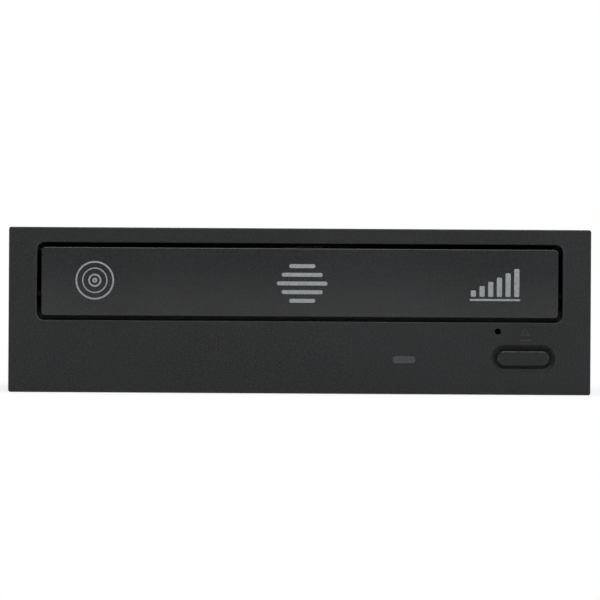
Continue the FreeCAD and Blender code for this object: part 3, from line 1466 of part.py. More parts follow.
def make_tray():
    """The disc tray: a cored plate with two disc beds, a slot, skirts with guide ribs, and a rack."""
    tray = Piece("disc_tray")
    half = S.tray_width / 2
    front = DOOR_BACK
    length = S.tray_rear - front
    # The rack: teeth face the drive pinion, and the bar hangs from the plate on a web
    pitch_line = S.drive_across - DRIVE_PITCH_RADIUS
    root = pitch_line - S.drive_pinion_module * DEDENDUM
    tip = pitch_line + S.drive_pinion_module * ADDENDUM
    bar_left = root - S.rack_wall
    bar_bottom = S.rail_up - S.rail_height / 2
    bar_height = PINION_TOP - bar_bottom
    pitch = S.drive_pinion_module * math.pi
    tray.block(bar_left, S.rack_front, bar_bottom, S.rack_wall, S.tray_rear - S.rack_front, bar_height)
    count = int((S.tray_rear.number - S.rack_front.number) / pitch.number)
    back_steps = int((S.drive_back.number - S.rack_front.number - pitch.number / 2) / pitch.number)
    middle = S.drive_back - pitch * back_steps
    lean = math.tan(math.radians(S.pressure_angle.number))
    half_tooth = S.drive_pinion_module * (math.pi / 4) - S.tooth_backlash / 2
    wide = half_tooth + S.drive_pinion_module * (DEDENDUM * lean)
    narrow = half_tooth - S.drive_pinion_module * (ADDENDUM * lean)
    tooth = tray.outline("XY", bar_bottom).polygon(
        (root - S.tooth_bite, middle - wide),
        (root, middle - wide),
        (tip, middle - narrow),
        (tip, middle + narrow),
        (root, middle + wide),
        (root - S.tooth_bite, middle + wide),
    )
    first = tray.pad(tooth, bar_height, "+z")
    tray.repeat_back(first, pitch, count)
    tray.block(bar_left, S.rack_front, bar_bottom + bar_height, S.tray_skirt_wall,
               S.tray_rear - S.rack_front, S.tray_underside - bar_bottom - bar_height + S.tooth_bite)
    # The plate, its skirts and its guide ribs
    plate = tray.outline("XY", S.tray_underside).rectangle(-half, front, S.tray_width, length)
    tray.pad(plate, S.tray_top - S.tray_underside, "+z")
    tray.pair(half - S.tray_skirt_wall, front, S.tray_skirt_bottom, S.tray_skirt_wall, length,
              S.tray_underside - S.tray_skirt_bottom)
    rib_start = S.chassis_start + S.chassis_wall
    rib_bottom = S.rail_up - S.rail_height / 2
    tray.pair(half, rib_start, rib_bottom, S.rail_reach, S.tray_rear - rib_start, S.rail_height)
    # Clips that reach into the hollow of the door
    clips = tray.outline("XZ", front)
    for side in SIDES:
        clips.rectangle(
            S.clip_across * side - S.latch_width,
            S.tray_underside,
            S.latch_width * 2,
            S.tray_top - S.tray_underside - S.latch_wall,
        )
    tray.pad(clips, S.door_depth - S.door_wall - S.rail_gap, "-y")
    # Beds for the two sizes of disc
    wall = S.disc_radius + S.disc_clearance
    tray.bore(0, S.spindle_back, S.disc_bed, wall, S.tray_top - S.disc_bed)
    tray.fillet(S.bed_edge, lambda edge: abs(edge.BoundBox.ZMin - S.tray_top.number) < 1e-4
                and abs(edge.BoundBox.ZMax - S.tray_top.number) < 1e-4
                and edge.BoundBox.XLength > wall.number and edge.BoundBox.YLength > wall.number)
    tray.bore(0, S.spindle_back, S.small_disc_bed, S.small_disc_radius, S.disc_bed - S.small_disc_bed)
    notch_back = S.spindle_back - wall + S.finger_radius - S.finger_reach
    tray.bore(0, notch_back, S.finger_bed, S.finger_radius, S.tray_top - S.finger_bed)
    # The slot through which the spindle and the lens reach the disc
    tray.bore(0, S.spindle_back, S.tray_underside, S.slot_half_width, S.tray_top - S.tray_underside)
    slot = tray.outline("XY", S.tray_underside).rounded(
        -S.slot_half_width,
        S.spindle_back - S.slot_half_width / 2,
        S.slot_half_width * 2,
        S.slot_end + S.slot_half_width / 2,
        S.slot_corner,
    )
    tray.cut(slot, S.tray_top - S.tray_underside, "+z")
    # Cored pockets under the corners and the rear strip
    core_height = S.tray_core_roof - S.tray_underside
    inner = half - S.tray_skirt_wall
    cores = tray.outline("XY", S.tray_underside)
    slot_rear = S.spindle_back + S.slot_end
    core_front = slot_rear + S.core_rib
    core_length = S.tray_rear - S.tray_skirt_wall - core_front
    cores.rectangle(-S.slot_half_width, core_front, S.slot_half_width * 2, core_length)
    for side in SIDES:
        left = S.core_inner if side > 0 else -bar_core(inner, bar_left)
        right = inner if side > 0 else -S.core_inner
        cores.rectangle(left, core_front, right - left, core_length)
        left = S.core_corner if side > 0 else -bar_core(inner, bar_left)
        right = inner if side > 0 else -S.core_corner
        cores.rectangle(left, front + S.tray_skirt_wall, right - left, S.core_front_length)
    tray.cut(cores, core_height, "+z")
    open_rear = tray.outline("XY", S.tray_underside).rectangle(
        -S.slot_half_width, slot_rear - S.deep_bite, S.slot_half_width * 2,
        S.tray_rear - slot_rear + S.deep_bite)
    tray.cut(open_rear, core_height, "+z")


def bar_core(inner, bar_left):
    """The left-hand cores stop at the web of the rack."""
    return -(bar_left + S.tray_skirt_wall) - S.rail_gap


def make_bridge():
    """The steel strap across the chassis that carries the clamp over the disc."""
    bridge = Piece("clamp_bridge")
    half = CHASSIS_OUTSIDE - S.fit_gap
    bridge.block(-half, BRIDGE_FRONT, S.chassis_top, half * 2, S.bridge_width, S.bridge_sheet)
    lip_half = S.tray_width / 2 - S.bridge_lip * 2
    lips = bridge.outline("XY", S.chassis_top)
    for back in (BRIDGE_FRONT, BRIDGE_FRONT + S.bridge_width - S.bridge_sheet):
        lips.rectangle(-lip_half, back, lip_half * 2, S.bridge_sheet)
    bridge.pad(lips, S.bridge_lip, "-z")
    bridge.bore(0, S.spindle_back, S.chassis_top, S.bridge_hole_radius, S.bridge_sheet)
    bridge.discs(BRIDGE_SCREWS, S.chassis_top, S.small_screw_radius + S.fit_gap, S.bridge_sheet, bore=True)
    windows = bridge.outline("XY", S.chassis_top)
    for side in SIDES:
        windows.rounded(
            S.bridge_window_across * side - S.bridge_window_width / 2,
            S.spindle_back - S.bridge_window_length / 2,
            S.bridge_window_width,
            S.bridge_window_length,
            S.bridge_lip,
        )
    bridge.cut(windows, S.bridge_sheet, "+z")


CLAMP_BOTTOM = S.disc_plane + S.clamper_drop
BRIDGE_TOP = S.chassis_top + S.bridge_sheet


def make_clamp():
    """The clamp that hangs in the bridge: a hub with a ring that presses the disc, a steel disc and a cap."""
    hub = Piece("clamper_hub").place(0, S.spindle_back)
    hub.disc(0, 0, CLAMP_BOTTOM, S.clamper_radius, S.clamper_ring_wall)
    hub.disc(0, 0, CLAMP_BOTTOM, S.clamper_neck_radius, BRIDGE_TOP - CLAMP_BOTTOM)
    hub.bore(0, 0, CLAMP_BOTTOM, S.clamper_socket_radius, S.clamper_socket_depth)
    plate_bottom = BRIDGE_TOP - S.clamper_plate_height
    hub.bore(0, 0, plate_bottom, S.clamper_plate_radius + S.fit_gap, S.clamper_plate_height)
    hub.bore(0, 0, CLAMP_BOTTOM, S.clamper_radius - S.clamper_lip, S.clamper_groove)
    ring = hub.outline("XY", CLAMP_BOTTOM)
    ring.circle(0, 0, S.clamper_radius - S.clamper_lip)
    ring.circle(0, 0, S.clamper_socket_radius)
    hub.pad(ring, S.clamper_groove / 2, "+z")
    plate = Piece("clamper_magnet").place(0, S.spindle_back)
    plate.disc(0, 0, BRIDGE_TOP - S.clamper_plate_height, S.clamper_plate_radius, S.clamper_plate_height)
    cap = Piece("clamper_cap").place(0, S.spindle_back)
    cap.disc(0, 0, BRIDGE_TOP, S.clamper_flange_radius, S.clamper_flange_wall)
    cap.bore(0, 0, BRIDGE_TOP + S.clamper_flange_wall / 2, S.clamper_neck_radius - 2, S.clamper_flange_wall)
    cap.chamfer(S.clamper_flange_wall / 3, flat_at("Z", (BRIDGE_TOP + S.clamper_flange_wall).number))


def gap_corners(teeth, module):
    """Corners of one gap between involute teeth, centred on the X axis of a wheel."""
    lean = math.radians(S.pressure_angle.number)
    count, size = teeth.number, module.number
    pitch = size * count / 2
    base, root, tip = pitch * math.cos(lean), pitch - DEDENDUM * size, pitch + ADDENDUM * size
    half_gap = (math.pi * size / 2 + S.tooth_backlash.number) / (2 * pitch)

    def half_angle(radius):
        if radius <= base:
            return half_gap - (math.tan(lean) - lean)
        turn = math.acos(base / radius)
        return half_gap - (math.tan(lean) - lean) + (math.tan(turn) - turn)

    steps = sorted({root, max(root, base), pitch, (pitch + tip) / 2, tip})
    lower = [(r * math.cos(half_angle(r)), -r * math.sin(half_angle(r))) for r in steps]
    beyond = (lower[-1][0] + size, lower[-1][1] - size * math.tan(lean))
    lower.append(beyond)
    upper = [(x, -y) for x, y in reversed(lower)]
    return lower + upper


def cut_teeth(gear, teeth, module, bottom, height, gap_bearing):
    """Cuts teeth into a blank, with one gap centred on a bearing in degrees."""
    gap = gear.outline("XY", bottom)
    gap.sketch.AttachmentOffset = FreeCAD.Placement(
        Vector(0, 0, Size.of(bottom).number), FreeCAD.Rotation(Vector(0, 0, 1), gap_bearing))
    gap.polygon(*gap_corners(teeth, module))
    first = gear.cut(gap, height, "+z")
    gear.repeat_round(first, teeth)


def tip_radius(teeth, module):
    return module * teeth / 2 + module * ADDENDUM


def make_gears():
    """The three gears between the belt and the rack. Each bore turns on a post of the deck."""
    bore = S.gear_post_radius + S.gear_bore_gap
    toward_pulley = S.pulley_bearing.number
    toward_middle = S.middle_bearing.number
    half_step = 180.0
    drive = Piece("drive_gear").place(S.drive_across, S.drive_back)
    drive.disc(0, 0, MID_TIER_BOTTOM, tip_radius(S.drive_wheel_teeth, S.train_module), S.mid_tier_height)
    cut_teeth(drive, S.drive_wheel_teeth, S.train_module, MID_TIER_BOTTOM, S.mid_tier_height,
              toward_middle + half_step / S.drive_wheel_teeth.number)
    drive.disc(0, 0, MID_TIER_TOP, tip_radius(S.drive_pinion_teeth, S.drive_pinion_module), S.pinion_height)
    cut_teeth(drive, S.drive_pinion_teeth, S.drive_pinion_module, MID_TIER_TOP, S.pinion_height, 180.0)
    drive.disc(0, 0, GEAR_FLOOR, S.gear_hub_radius, MID_TIER_BOTTOM - GEAR_FLOOR)
    drive.bore(0, 0, GEAR_FLOOR, bore, PINION_TOP - GEAR_FLOOR)
    middle = Piece("middle_gear").place(MIDDLE_ACROSS, MIDDLE_BACK)
    middle.disc(0, 0, GEAR_FLOOR, tip_radius(S.middle_wheel_teeth, S.train_module), S.low_tier_height)
    cut_teeth(middle, S.middle_wheel_teeth, S.train_module, GEAR_FLOOR, S.low_tier_height,
              toward_pulley + half_step / S.middle_wheel_teeth.number)
    middle.disc(0, 0, LOW_TIER_TOP, tip_radius(S.middle_pinion_teeth, S.train_module),
                MID_TIER_TOP - LOW_TIER_TOP)
    cut_teeth(middle, S.middle_pinion_teeth, S.train_module, LOW_TIER_TOP, MID_TIER_TOP - LOW_TIER_TOP,
              toward_middle + 180.0)
    middle.bore(0, 0, GEAR_FLOOR, bore, MID_TIER_TOP - GEAR_FLOOR)
    pulley = Piece("pulley_gear").place(PULLEY_ACROSS, PULLEY_BACK)
    pinion_top = LOW_TIER_TOP + S.gear_seat_gap
    pulley.disc(0, 0, GEAR_FLOOR, tip_radius(S.pulley_pinion_teeth, S.train_module), pinion_top - GEAR_FLOOR)
    cut_teeth(pulley, S.pulley_pinion_teeth, S.train_module, GEAR_FLOOR, pinion_top - GEAR_FLOOR,
              toward_pulley + 180.0)
    pulley.disc(0, 0, pinion_top, S.gear_hub_radius, PULLEY_BOTTOM - pinion_top)
    groove_pulley(pulley, S.pulley_radius)
    pulley.bore(0, 0, GEAR_FLOOR, bore, PULLEY_TOP - GEAR_FLOOR)


def groove_pulley(pulley, radius):
    """A pulley with two rims and a groove for the belt between them."""
    rim = (S.pulley_height - S.belt_width - S.fit_gap * 2) / 2
    pulley.disc(0, 0, PULLEY_BOTTOM, radius, rim)
    pulley.disc(0, 0, PULLEY_BOTTOM + rim, radius - S.pulley_groove, S.pulley_height - rim * 2)
    pulley.disc(0, 0, PULLEY_TOP - rim, radius, rim)


def make_belt_drive():
    """The loading motor under the deck, its pulley, and the rubber belt to the first gear."""
    motor = Piece("loading_motor").place(S.motor_across, S.motor_back)
    can_bottom = DECK_BOTTOM - S.motor_height
    motor.disc(0, 0, can_bottom, S.motor_radius, S.motor_height)
    motor.fillet(S.motor_edge, flat_at("Z", can_bottom.number))
    motor.disc(0, 0, DECK_BOTTOM, S.motor_boss_radius, S.deck_thickness - S.gear_seat_gap)
    motor.disc(0, 0, can_bottom - S.motor_cap, S.motor_boss_radius, S.motor_cap)
    shaft_hole = S.motor_shaft_radius + S.fit_gap
    motor.bore(0, 0, DECK_BOTTOM - S.motor_cap, shaft_hole, S.deck_thickness + S.motor_cap)
    steps = [(S.motor_screw_step * side, Size.of(0)) for side in SIDES]
    screw_hole = S.small_screw_radius + S.fit_gap
    motor.discs(steps, DECK_BOTTOM - S.motor_cap * 3, screw_hole, S.motor_cap * 3, bore=True)
    wheel = Piece("motor_pulley").place(S.motor_across, S.motor_back)
    shaft_height = PULLEY_TOP - DECK_BOTTOM + S.motor_cap
    wheel.disc(0, 0, DECK_BOTTOM - S.motor_cap / 2, S.motor_shaft_radius, shaft_height)
    groove_pulley(wheel, S.motor_pulley_radius)
    wheel.disc(0, 0, PULLEY_BOTTOM - S.pulley_hub, S.motor_pulley_radius * 0.7, S.pulley_hub)
    belt = Piece("drive_belt")
    bottom = PULLEY_BOTTOM + (S.pulley_height - S.belt_width) / 2
    loop = belt.outline("XY", bottom)
    seat = S.fit_gap / 2 - S.pulley_groove
    for thick in (S.belt_thick, Size.of(0)):
        loop.loop(
            (PULLEY_ACROSS, PULLEY_BACK, S.pulley_radius + seat + thick),
            (S.motor_across, S.motor_back, S.motor_pulley_radius + seat + thick),
        )
    belt.pad(loop, S.belt_width, "+z")


def make_cam_slider():
    """The slider across the drive: its two sloped slots lift the unit as it moves, and its rack is driven."""
    slider = Piece("cam_slider")
    reach = S.cam_travel
    slot_radius = S.peg_radius + S.cam_slot_gap
    left = -S.peg_across - reach - slot_radius - S.cam_end
    right = S.peg_across + slot_radius + S.cam_end
    wall_bottom = PEG_LOW - slot_radius - S.cam_rim
    wall_top = S.hinge_up + slot_radius + S.cam_rim
    slider.block(left, CAM_FRONT, wall_bottom, right - left, S.cam_wall, wall_top - wall_bottom)
    foot = S.deck_top + S.gear_seat_gap
    slider.block(S.cam_flange_left, CAM_FRONT - S.cam_flange, foot, S.cam_flange_right - S.cam_flange_left,
                 S.cam_flange + S.cam_wall, S.cam_foot_height)
    finger = slider.outline("XY", foot).polygon(
        (S.finger_left, CAM_FRONT - S.cam_flange + S.joint_bite),
        (S.finger_left, CAM_FRONT - S.cam_flange - S.finger_length),
        (S.cam_flange_right, CAM_FRONT - S.cam_flange + S.joint_bite),
    )
    slider.pad(finger, S.cam_foot_height, "+z")
    # The rack passes behind the pinion under the tray's own rack, clear of the pinion's tips
    module = S.drive_pinion_module
    tip = S.drive_back + DRIVE_PITCH_RADIUS + module * ADDENDUM + S.rail_gap
    root = tip + module * (ADDENDUM + DEDENDUM)
    arm_bottom = MID_TIER_TOP + S.gear_seat_gap + S.fit_gap
    rack_left = -S.tray_width / 2 + S.tray_skirt_wall + S.rail_gap * 2
    arm = slider.outline("XY", arm_bottom).polygon(
        (rack_left, root),
        (rack_left + reach, root),
        (rack_left + reach, CAM_FRONT - S.cam_flange),
        (left + S.cam_flange * 2, CAM_FRONT - S.cam_flange),
        (left + S.cam_flange * 2, CAM_REAR),
        (rack_left, CAM_REAR),
    )
    slider.pad(arm, S.cam_arm_height, "+z")
    lean = math.tan(math.radians(S.pressure_angle.number))
    half_tooth = module * (math.pi / 4) - S.tooth_backlash / 2
    wide = half_tooth + module * (DEDENDUM * lean)
    narrow = half_tooth - module * (ADDENDUM * lean)
    teeth = slider.outline("XY", arm_bottom)
    count = int((reach.number - wide.number) / (math.pi * module.number))
    for number in range(count):
        middle = rack_left + wide + module * (math.pi * number)
        teeth.polygon(
            (middle - wide, root + S.tooth_bite),
            (middle - wide, root),
            (middle - narrow, tip),
            (middle + narrow, tip),
            (middle + wide, root),
            (middle + wide, root + S.tooth_bite),
        )
    slider.pad(teeth, S.cam_arm_height, "+z")
    # The slots are cut last, through the foot and the arm too, deep enough for the ends of the pegs
    slots = slider.outline("XZ", CAM_REAR)
    for side in SIDES:
        across = S.peg_across * side
        slots.loop((across, PEG_LOW, slot_radius), (across - reach, S.hinge_up, slot_radius))
    slider.cut(slots, S.peg_reach - S.cam_gap + S.rail_gap, "-y")


# Lifting unit


def make_lift_frame():
    """The moulded ring that hinges at the rear and rides on the cam slider at the front."""
    frame = Piece("lift_frame").place(lifted=True)
    half = S.lift_half_width
    length = S.lift_rear - S.lift_front
    ring = frame.outline("XY", S.lift_bottom)
    ring.rectangle(-half, S.lift_front, half * 2, length)
    ring.rectangle(-LIFT_INSIDE, S.lift_front + S.lift_wall, LIFT_INSIDE * 2, length - S.lift_wall * 2)
    frame.pad(ring, S.lift_height, "+z")
    lugs = frame.outline("XY", S.lift_bottom)
    for across, back in DAMPERS:
        inner = abs_size(across) - LUG_RADIUS
        width = LIFT_INSIDE - inner + S.joint_bite
        left = inner if across.number > 0 else -inner - width
        lugs.rectangle(left, back - LUG_RADIUS, width, LUG_RADIUS * 2)
    frame.pad(lugs, LUG_TOP - S.lift_bottom, "+z")
    arms = frame.outline("XY", S.lift_bottom)
    arm_rear = S.hinge_back + S.hinge_pin_radius
    for left in (-half, half - S.lift_wall):
        arms.rectangle(left, S.lift_rear - S.deep_bite, S.lift_wall, arm_rear - S.lift_rear + S.deep_bite)
    frame.pad(arms, S.lift_height, "+z")
    pin_length = S.ear_gap + S.ear_wall + S.rail_gap
    for side in SIDES:
        pin = frame.outline("YZ", half * side).circle(S.hinge_back, S.hinge_up, S.hinge_pin_radius)
        frame.pad(pin, pin_length, "+x" if side > 0 else "-x")
    pegs = frame.outline("XZ", S.lift_front)
    for side in SIDES:
        pegs.circle(S.peg_across * side, S.hinge_up, S.peg_radius)
    frame.pad(pegs, S.peg_reach, "-y")
    frame.discs(DAMPERS, S.lift_bottom, S.small_screw_radius + S.fit_gap, LUG_TOP - S.lift_bottom, bore=True)


def make_pickup_base():
    """The steel plate that carries spindle, rods and sled motor, with flanges turned up along both sides."""
    base = Piece("pickup_base").place(lifted=True)
    half = S.base_half_width
    length = S.base_rear - S.base_front
    base.block(-half, S.base_front, S.base_up, half * 2, length, S.base_sheet)
    inset = S.damper_radius
    inner = half - S.base_sheet
    base.pair(inner, S.base_front + inset, BASE_TOP, S.base_sheet, length - inset * 2, S.base_flange)
    sled_gap = S.rod_across + S.damper_radius + S.base_margin
    base.hollow(-sled_gap, S.base_opening_front, S.base_up, sled_gap * 2,
                S.base_opening_rear - S.base_opening_front, S.base_sheet)
    motor_left = S.screw_across - S.sled_motor_radius - S.base_margin
    motor_right = S.screw_across + S.sled_motor_radius + S.base_margin
    slot_front = S.sled_motor_front - S.motor_slot_front
    base.hollow(motor_left, slot_front, S.base_up, motor_right - motor_left,
                SCREW_END + S.rail_gap - slot_front, S.base_sheet)
    base.bore(0, S.spindle_back, S.base_up, S.bearing_radius + S.fit_gap, S.base_sheet)
    base.discs(DAMPERS, S.base_up, S.damper_neck_radius + S.fit_gap, S.base_sheet, bore=True)


def make_dampers():
    """Four rubber bushes that carry the plate in the ring, and their shoulder screws."""
    bushes = Piece("damper_bushes", several=True).place(lifted=True)
    bushes.discs(DAMPERS, LUG_TOP, S.damper_radius, S.base_up - LUG_TOP)
    bushes.discs(DAMPERS, S.base_up, S.damper_neck_radius, S.base_sheet)
    bushes.discs(DAMPERS, BASE_TOP, S.damper_radius, S.damper_top)
    bushes.discs(DAMPERS, LUG_TOP, S.damper_bore, S.damper_top + BASE_TOP - LUG_TOP, bore=True)
    length = BASE_TOP + S.damper_top - S.lift_bottom
    make_screws("damper_screws", DAMPERS, BASE_TOP + S.damper_top, length, S.small_screw_radius, lifted=True)


def make_screws(label, places, seat, length, radius, lifted=False, head=None, height=None, down=True):
    """Pan-head screws at several places, each with a cross recess. The head stands on the seat."""
    head = head or S.pan_head_radius
    height = height or S.pan_head_height
    screws = Piece(label, several=True).place(lifted=lifted)
    way, back = ("+z", "-z") if down else ("-z", "+z")
    seat = Size.of(seat)
    heads = screws.outline("XY", seat)
    shanks = screws.outline("XY", seat)
    for across, rear in places:
        heads.circle(across, rear, head)
        shanks.circle(across, rear, radius)
    screws.pad(heads, height, way)
    screws.pad(shanks, length, back)
    crosses = screws.outline("XY", seat + height if down else seat - height)
    for across, rear in places:
        crosses.cross(across, rear, head * S.cross_span, head * S.cross_width)
    screws.cut(crosses, height * S.cross_depth, back)
    return screws


def make_spindle():
    """The disc motor: a bearing and coils on a small board, a turning cup, its magnet, hub and mat."""
    back = S.spindle_back
    mount = Piece("spindle_mount").place(0, back, 0, lifted=True)
    half = S.rotor_radius + S.damper_radius
    deep = half * 2 - S.damper_radius * 2
    mount.block(-half, -half + S.damper_radius, BASE_TOP, half * 2, deep, S.case_sheet)
    bearing_bottom = S.lift_bottom + S.bearing_foot
    mount.disc(0, 0, bearing_bottom, S.bearing_radius, S.coil_top - bearing_bottom)
    mount.bore(0, 0, S.lift_bottom + S.shaft_well, S.shaft_radius + S.fit_gap, S.coil_top - S.lift_bottom)
    coils = Piece("spindle_coils").place(0, back, 0, lifted=True)
    coil_bottom = BASE_TOP + S.case_sheet + S.fit_gap
    coils.disc(0, 0, coil_bottom, S.coil_radius, S.coil_top - coil_bottom)
    beyond = S.coil_radius + S.deep_bite
    wedge = coils.outline("XY", coil_bottom).polygon(
        (S.coil_root, -S.coil_gap_inner),
        (beyond, -S.coil_gap_outer),
        (beyond, S.coil_gap_outer),
        (S.coil_root, S.coil_gap_inner),
    )
    coils.repeat_round(coils.cut(wedge, S.coil_top - coil_bottom, "+z"), S.coil_count)
    coils.bore(0, 0, coil_bottom, S.bearing_radius + S.coil_seat_gap, S.coil_top - coil_bottom)
    cup = Piece("rotor_can").place(0, back, 0, lifted=True)
    cup.disc(0, 0, S.rotor_bottom, S.rotor_radius, S.rotor_top - S.rotor_bottom)
    cup.bore(0, 0, S.rotor_bottom, S.rotor_radius - S.rotor_wall, S.rotor_top - S.rotor_wall - S.rotor_bottom)
    cup.fillet(S.rotor_wall / 2, flat_at("Z", S.rotor_top.number))
    hub_top = S.disc_plane + S.hub_height
    shaft_bottom = S.lift_bottom + S.shaft_foot
    cup.disc(0, 0, shaft_bottom, S.shaft_radius, hub_top - S.rail_gap - shaft_bottom)
    magnet = Piece("rotor_magnet").place(0, back, 0, lifted=True)
    band = magnet.outline("XY", S.rotor_bottom)
    outer = S.rotor_radius - S.rotor_wall
    band.circle(0, 0, outer)
    band.circle(0, 0, outer - S.magnet_wall)
    magnet.pad(band, S.rotor_top - S.rotor_wall - S.rotor_bottom - S.rail_gap, "+z")
    table = Piece("turntable").place(0, back, 0, lifted=True)
    table_top = S.disc_plane - S.mat_height
    table.disc(0, 0, S.rotor_top, S.hub_radius, hub_top - S.rotor_top)
    table.chamfer(S.hub_chamfer, flat_at("Z", hub_top.number))
    table.disc(0, 0, table_top - S.turntable_wall, S.turntable_radius, S.turntable_wall)
    table.bore(0, 0, S.rotor_top, S.shaft_radius, hub_top - S.rotor_top)
    mat = Piece("turntable_mat").place(0, back, 0, lifted=True)
    ring = mat.outline("XY", table_top)
    ring.circle(0, 0, S.turntable_radius - S.rail_gap)
    ring.circle(0, 0, S.turntable_radius - S.rail_gap - S.mat_width)
    mat.pad(ring, S.mat_height, "+z")


SCREW_END = S.base_opening_rear - S.damper_radius * 2 + S.base_sheet
MOTOR_REAR = S.sled_motor_front + S.sled_motor_length


def make_sled_drive():
    """Two rods, their holders, and the stepping motor whose screw moves the sled."""
    length = S.rod_rear - S.rod_front
    for label, across in (("main_guide_rod", -S.rod_across), ("side_guide_rod", S.rod_across)):
        rod = Piece(label).place(lifted=True)
        rod.pad(rod.outline("XZ", S.rod_front).circle(across, S.rod_up, S.rod_radius), length, "+y")
    holders = Piece("rod_holders", several=True).place(lifted=True)
    spots = holders.outline("XY", BASE_TOP)
    half = S.rod_radius + S.base_sheet
    for side in SIDES:
        for front in (S.rod_front, S.rod_rear - S.holder_length):
            spots.rectangle(S.rod_across * side - half, front, half * 2, S.holder_length)
    holders.pad(spots, S.rod_up + half - BASE_TOP, "+z")
    bores = holders.outline("XZ")
    for side in SIDES:
        bores.circle(S.rod_across * side, S.rod_up, S.rod_radius)
    holders.cut_through(bores)
    motor = Piece("sled_motor").place(lifted=True)
    can = motor.outline("XZ", S.sled_motor_front).circle(S.screw_across, SCREW_UP, S.sled_motor_radius)
    motor.pad(can, S.sled_motor_length, "+y")
    motor.fillet(S.motor_edge, flat_at("Y", S.sled_motor_front.number))
    bracket = Piece("sled_motor_bracket").place(lifted=True)
    left = S.screw_across - S.sled_motor_radius
    right = S.base_half_width - S.base_sheet - S.fit_gap
    foot_left = S.screw_across + S.sled_motor_radius + S.fit_gap
    bracket.block(foot_left, MOTOR_REAR, BASE_TOP, right - foot_left, SCREW_END - MOTOR_REAR, S.base_sheet)
    low = SCREW_UP - S.sled_motor_radius + S.bracket_step
    high = SCREW_UP + S.sled_motor_radius
    bracket.block(left, MOTOR_REAR, low, foot_left + S.rail_gap - left, S.base_sheet, high - low)
    bracket.block(left, MOTOR_REAR, BASE_TOP, right - left, S.base_sheet, high - BASE_TOP)
    end_top = SCREW_UP + S.screw_radius + S.nut_wall
    end_front = SCREW_END - S.base_sheet
    end_left = left + S.bracket_step
    bracket.block(end_left, end_front, BASE_TOP, right - end_left, S.base_sheet, end_top - BASE_TOP)
    holes = bracket.outline("XZ").circle(S.screw_across, SCREW_UP, S.screw_radius + S.fit_gap * 2)
    bracket.cut_through(holes)
    screw = Piece("lead_screw").place(S.screw_across, 0, SCREW_UP, lifted=True)
    start = MOTOR_REAR + S.rail_gap
    shaft = screw.outline("XZ", start).circle(0, 0, S.screw_radius)
    screw.pad(shaft, SCREW_END - start, "+y")


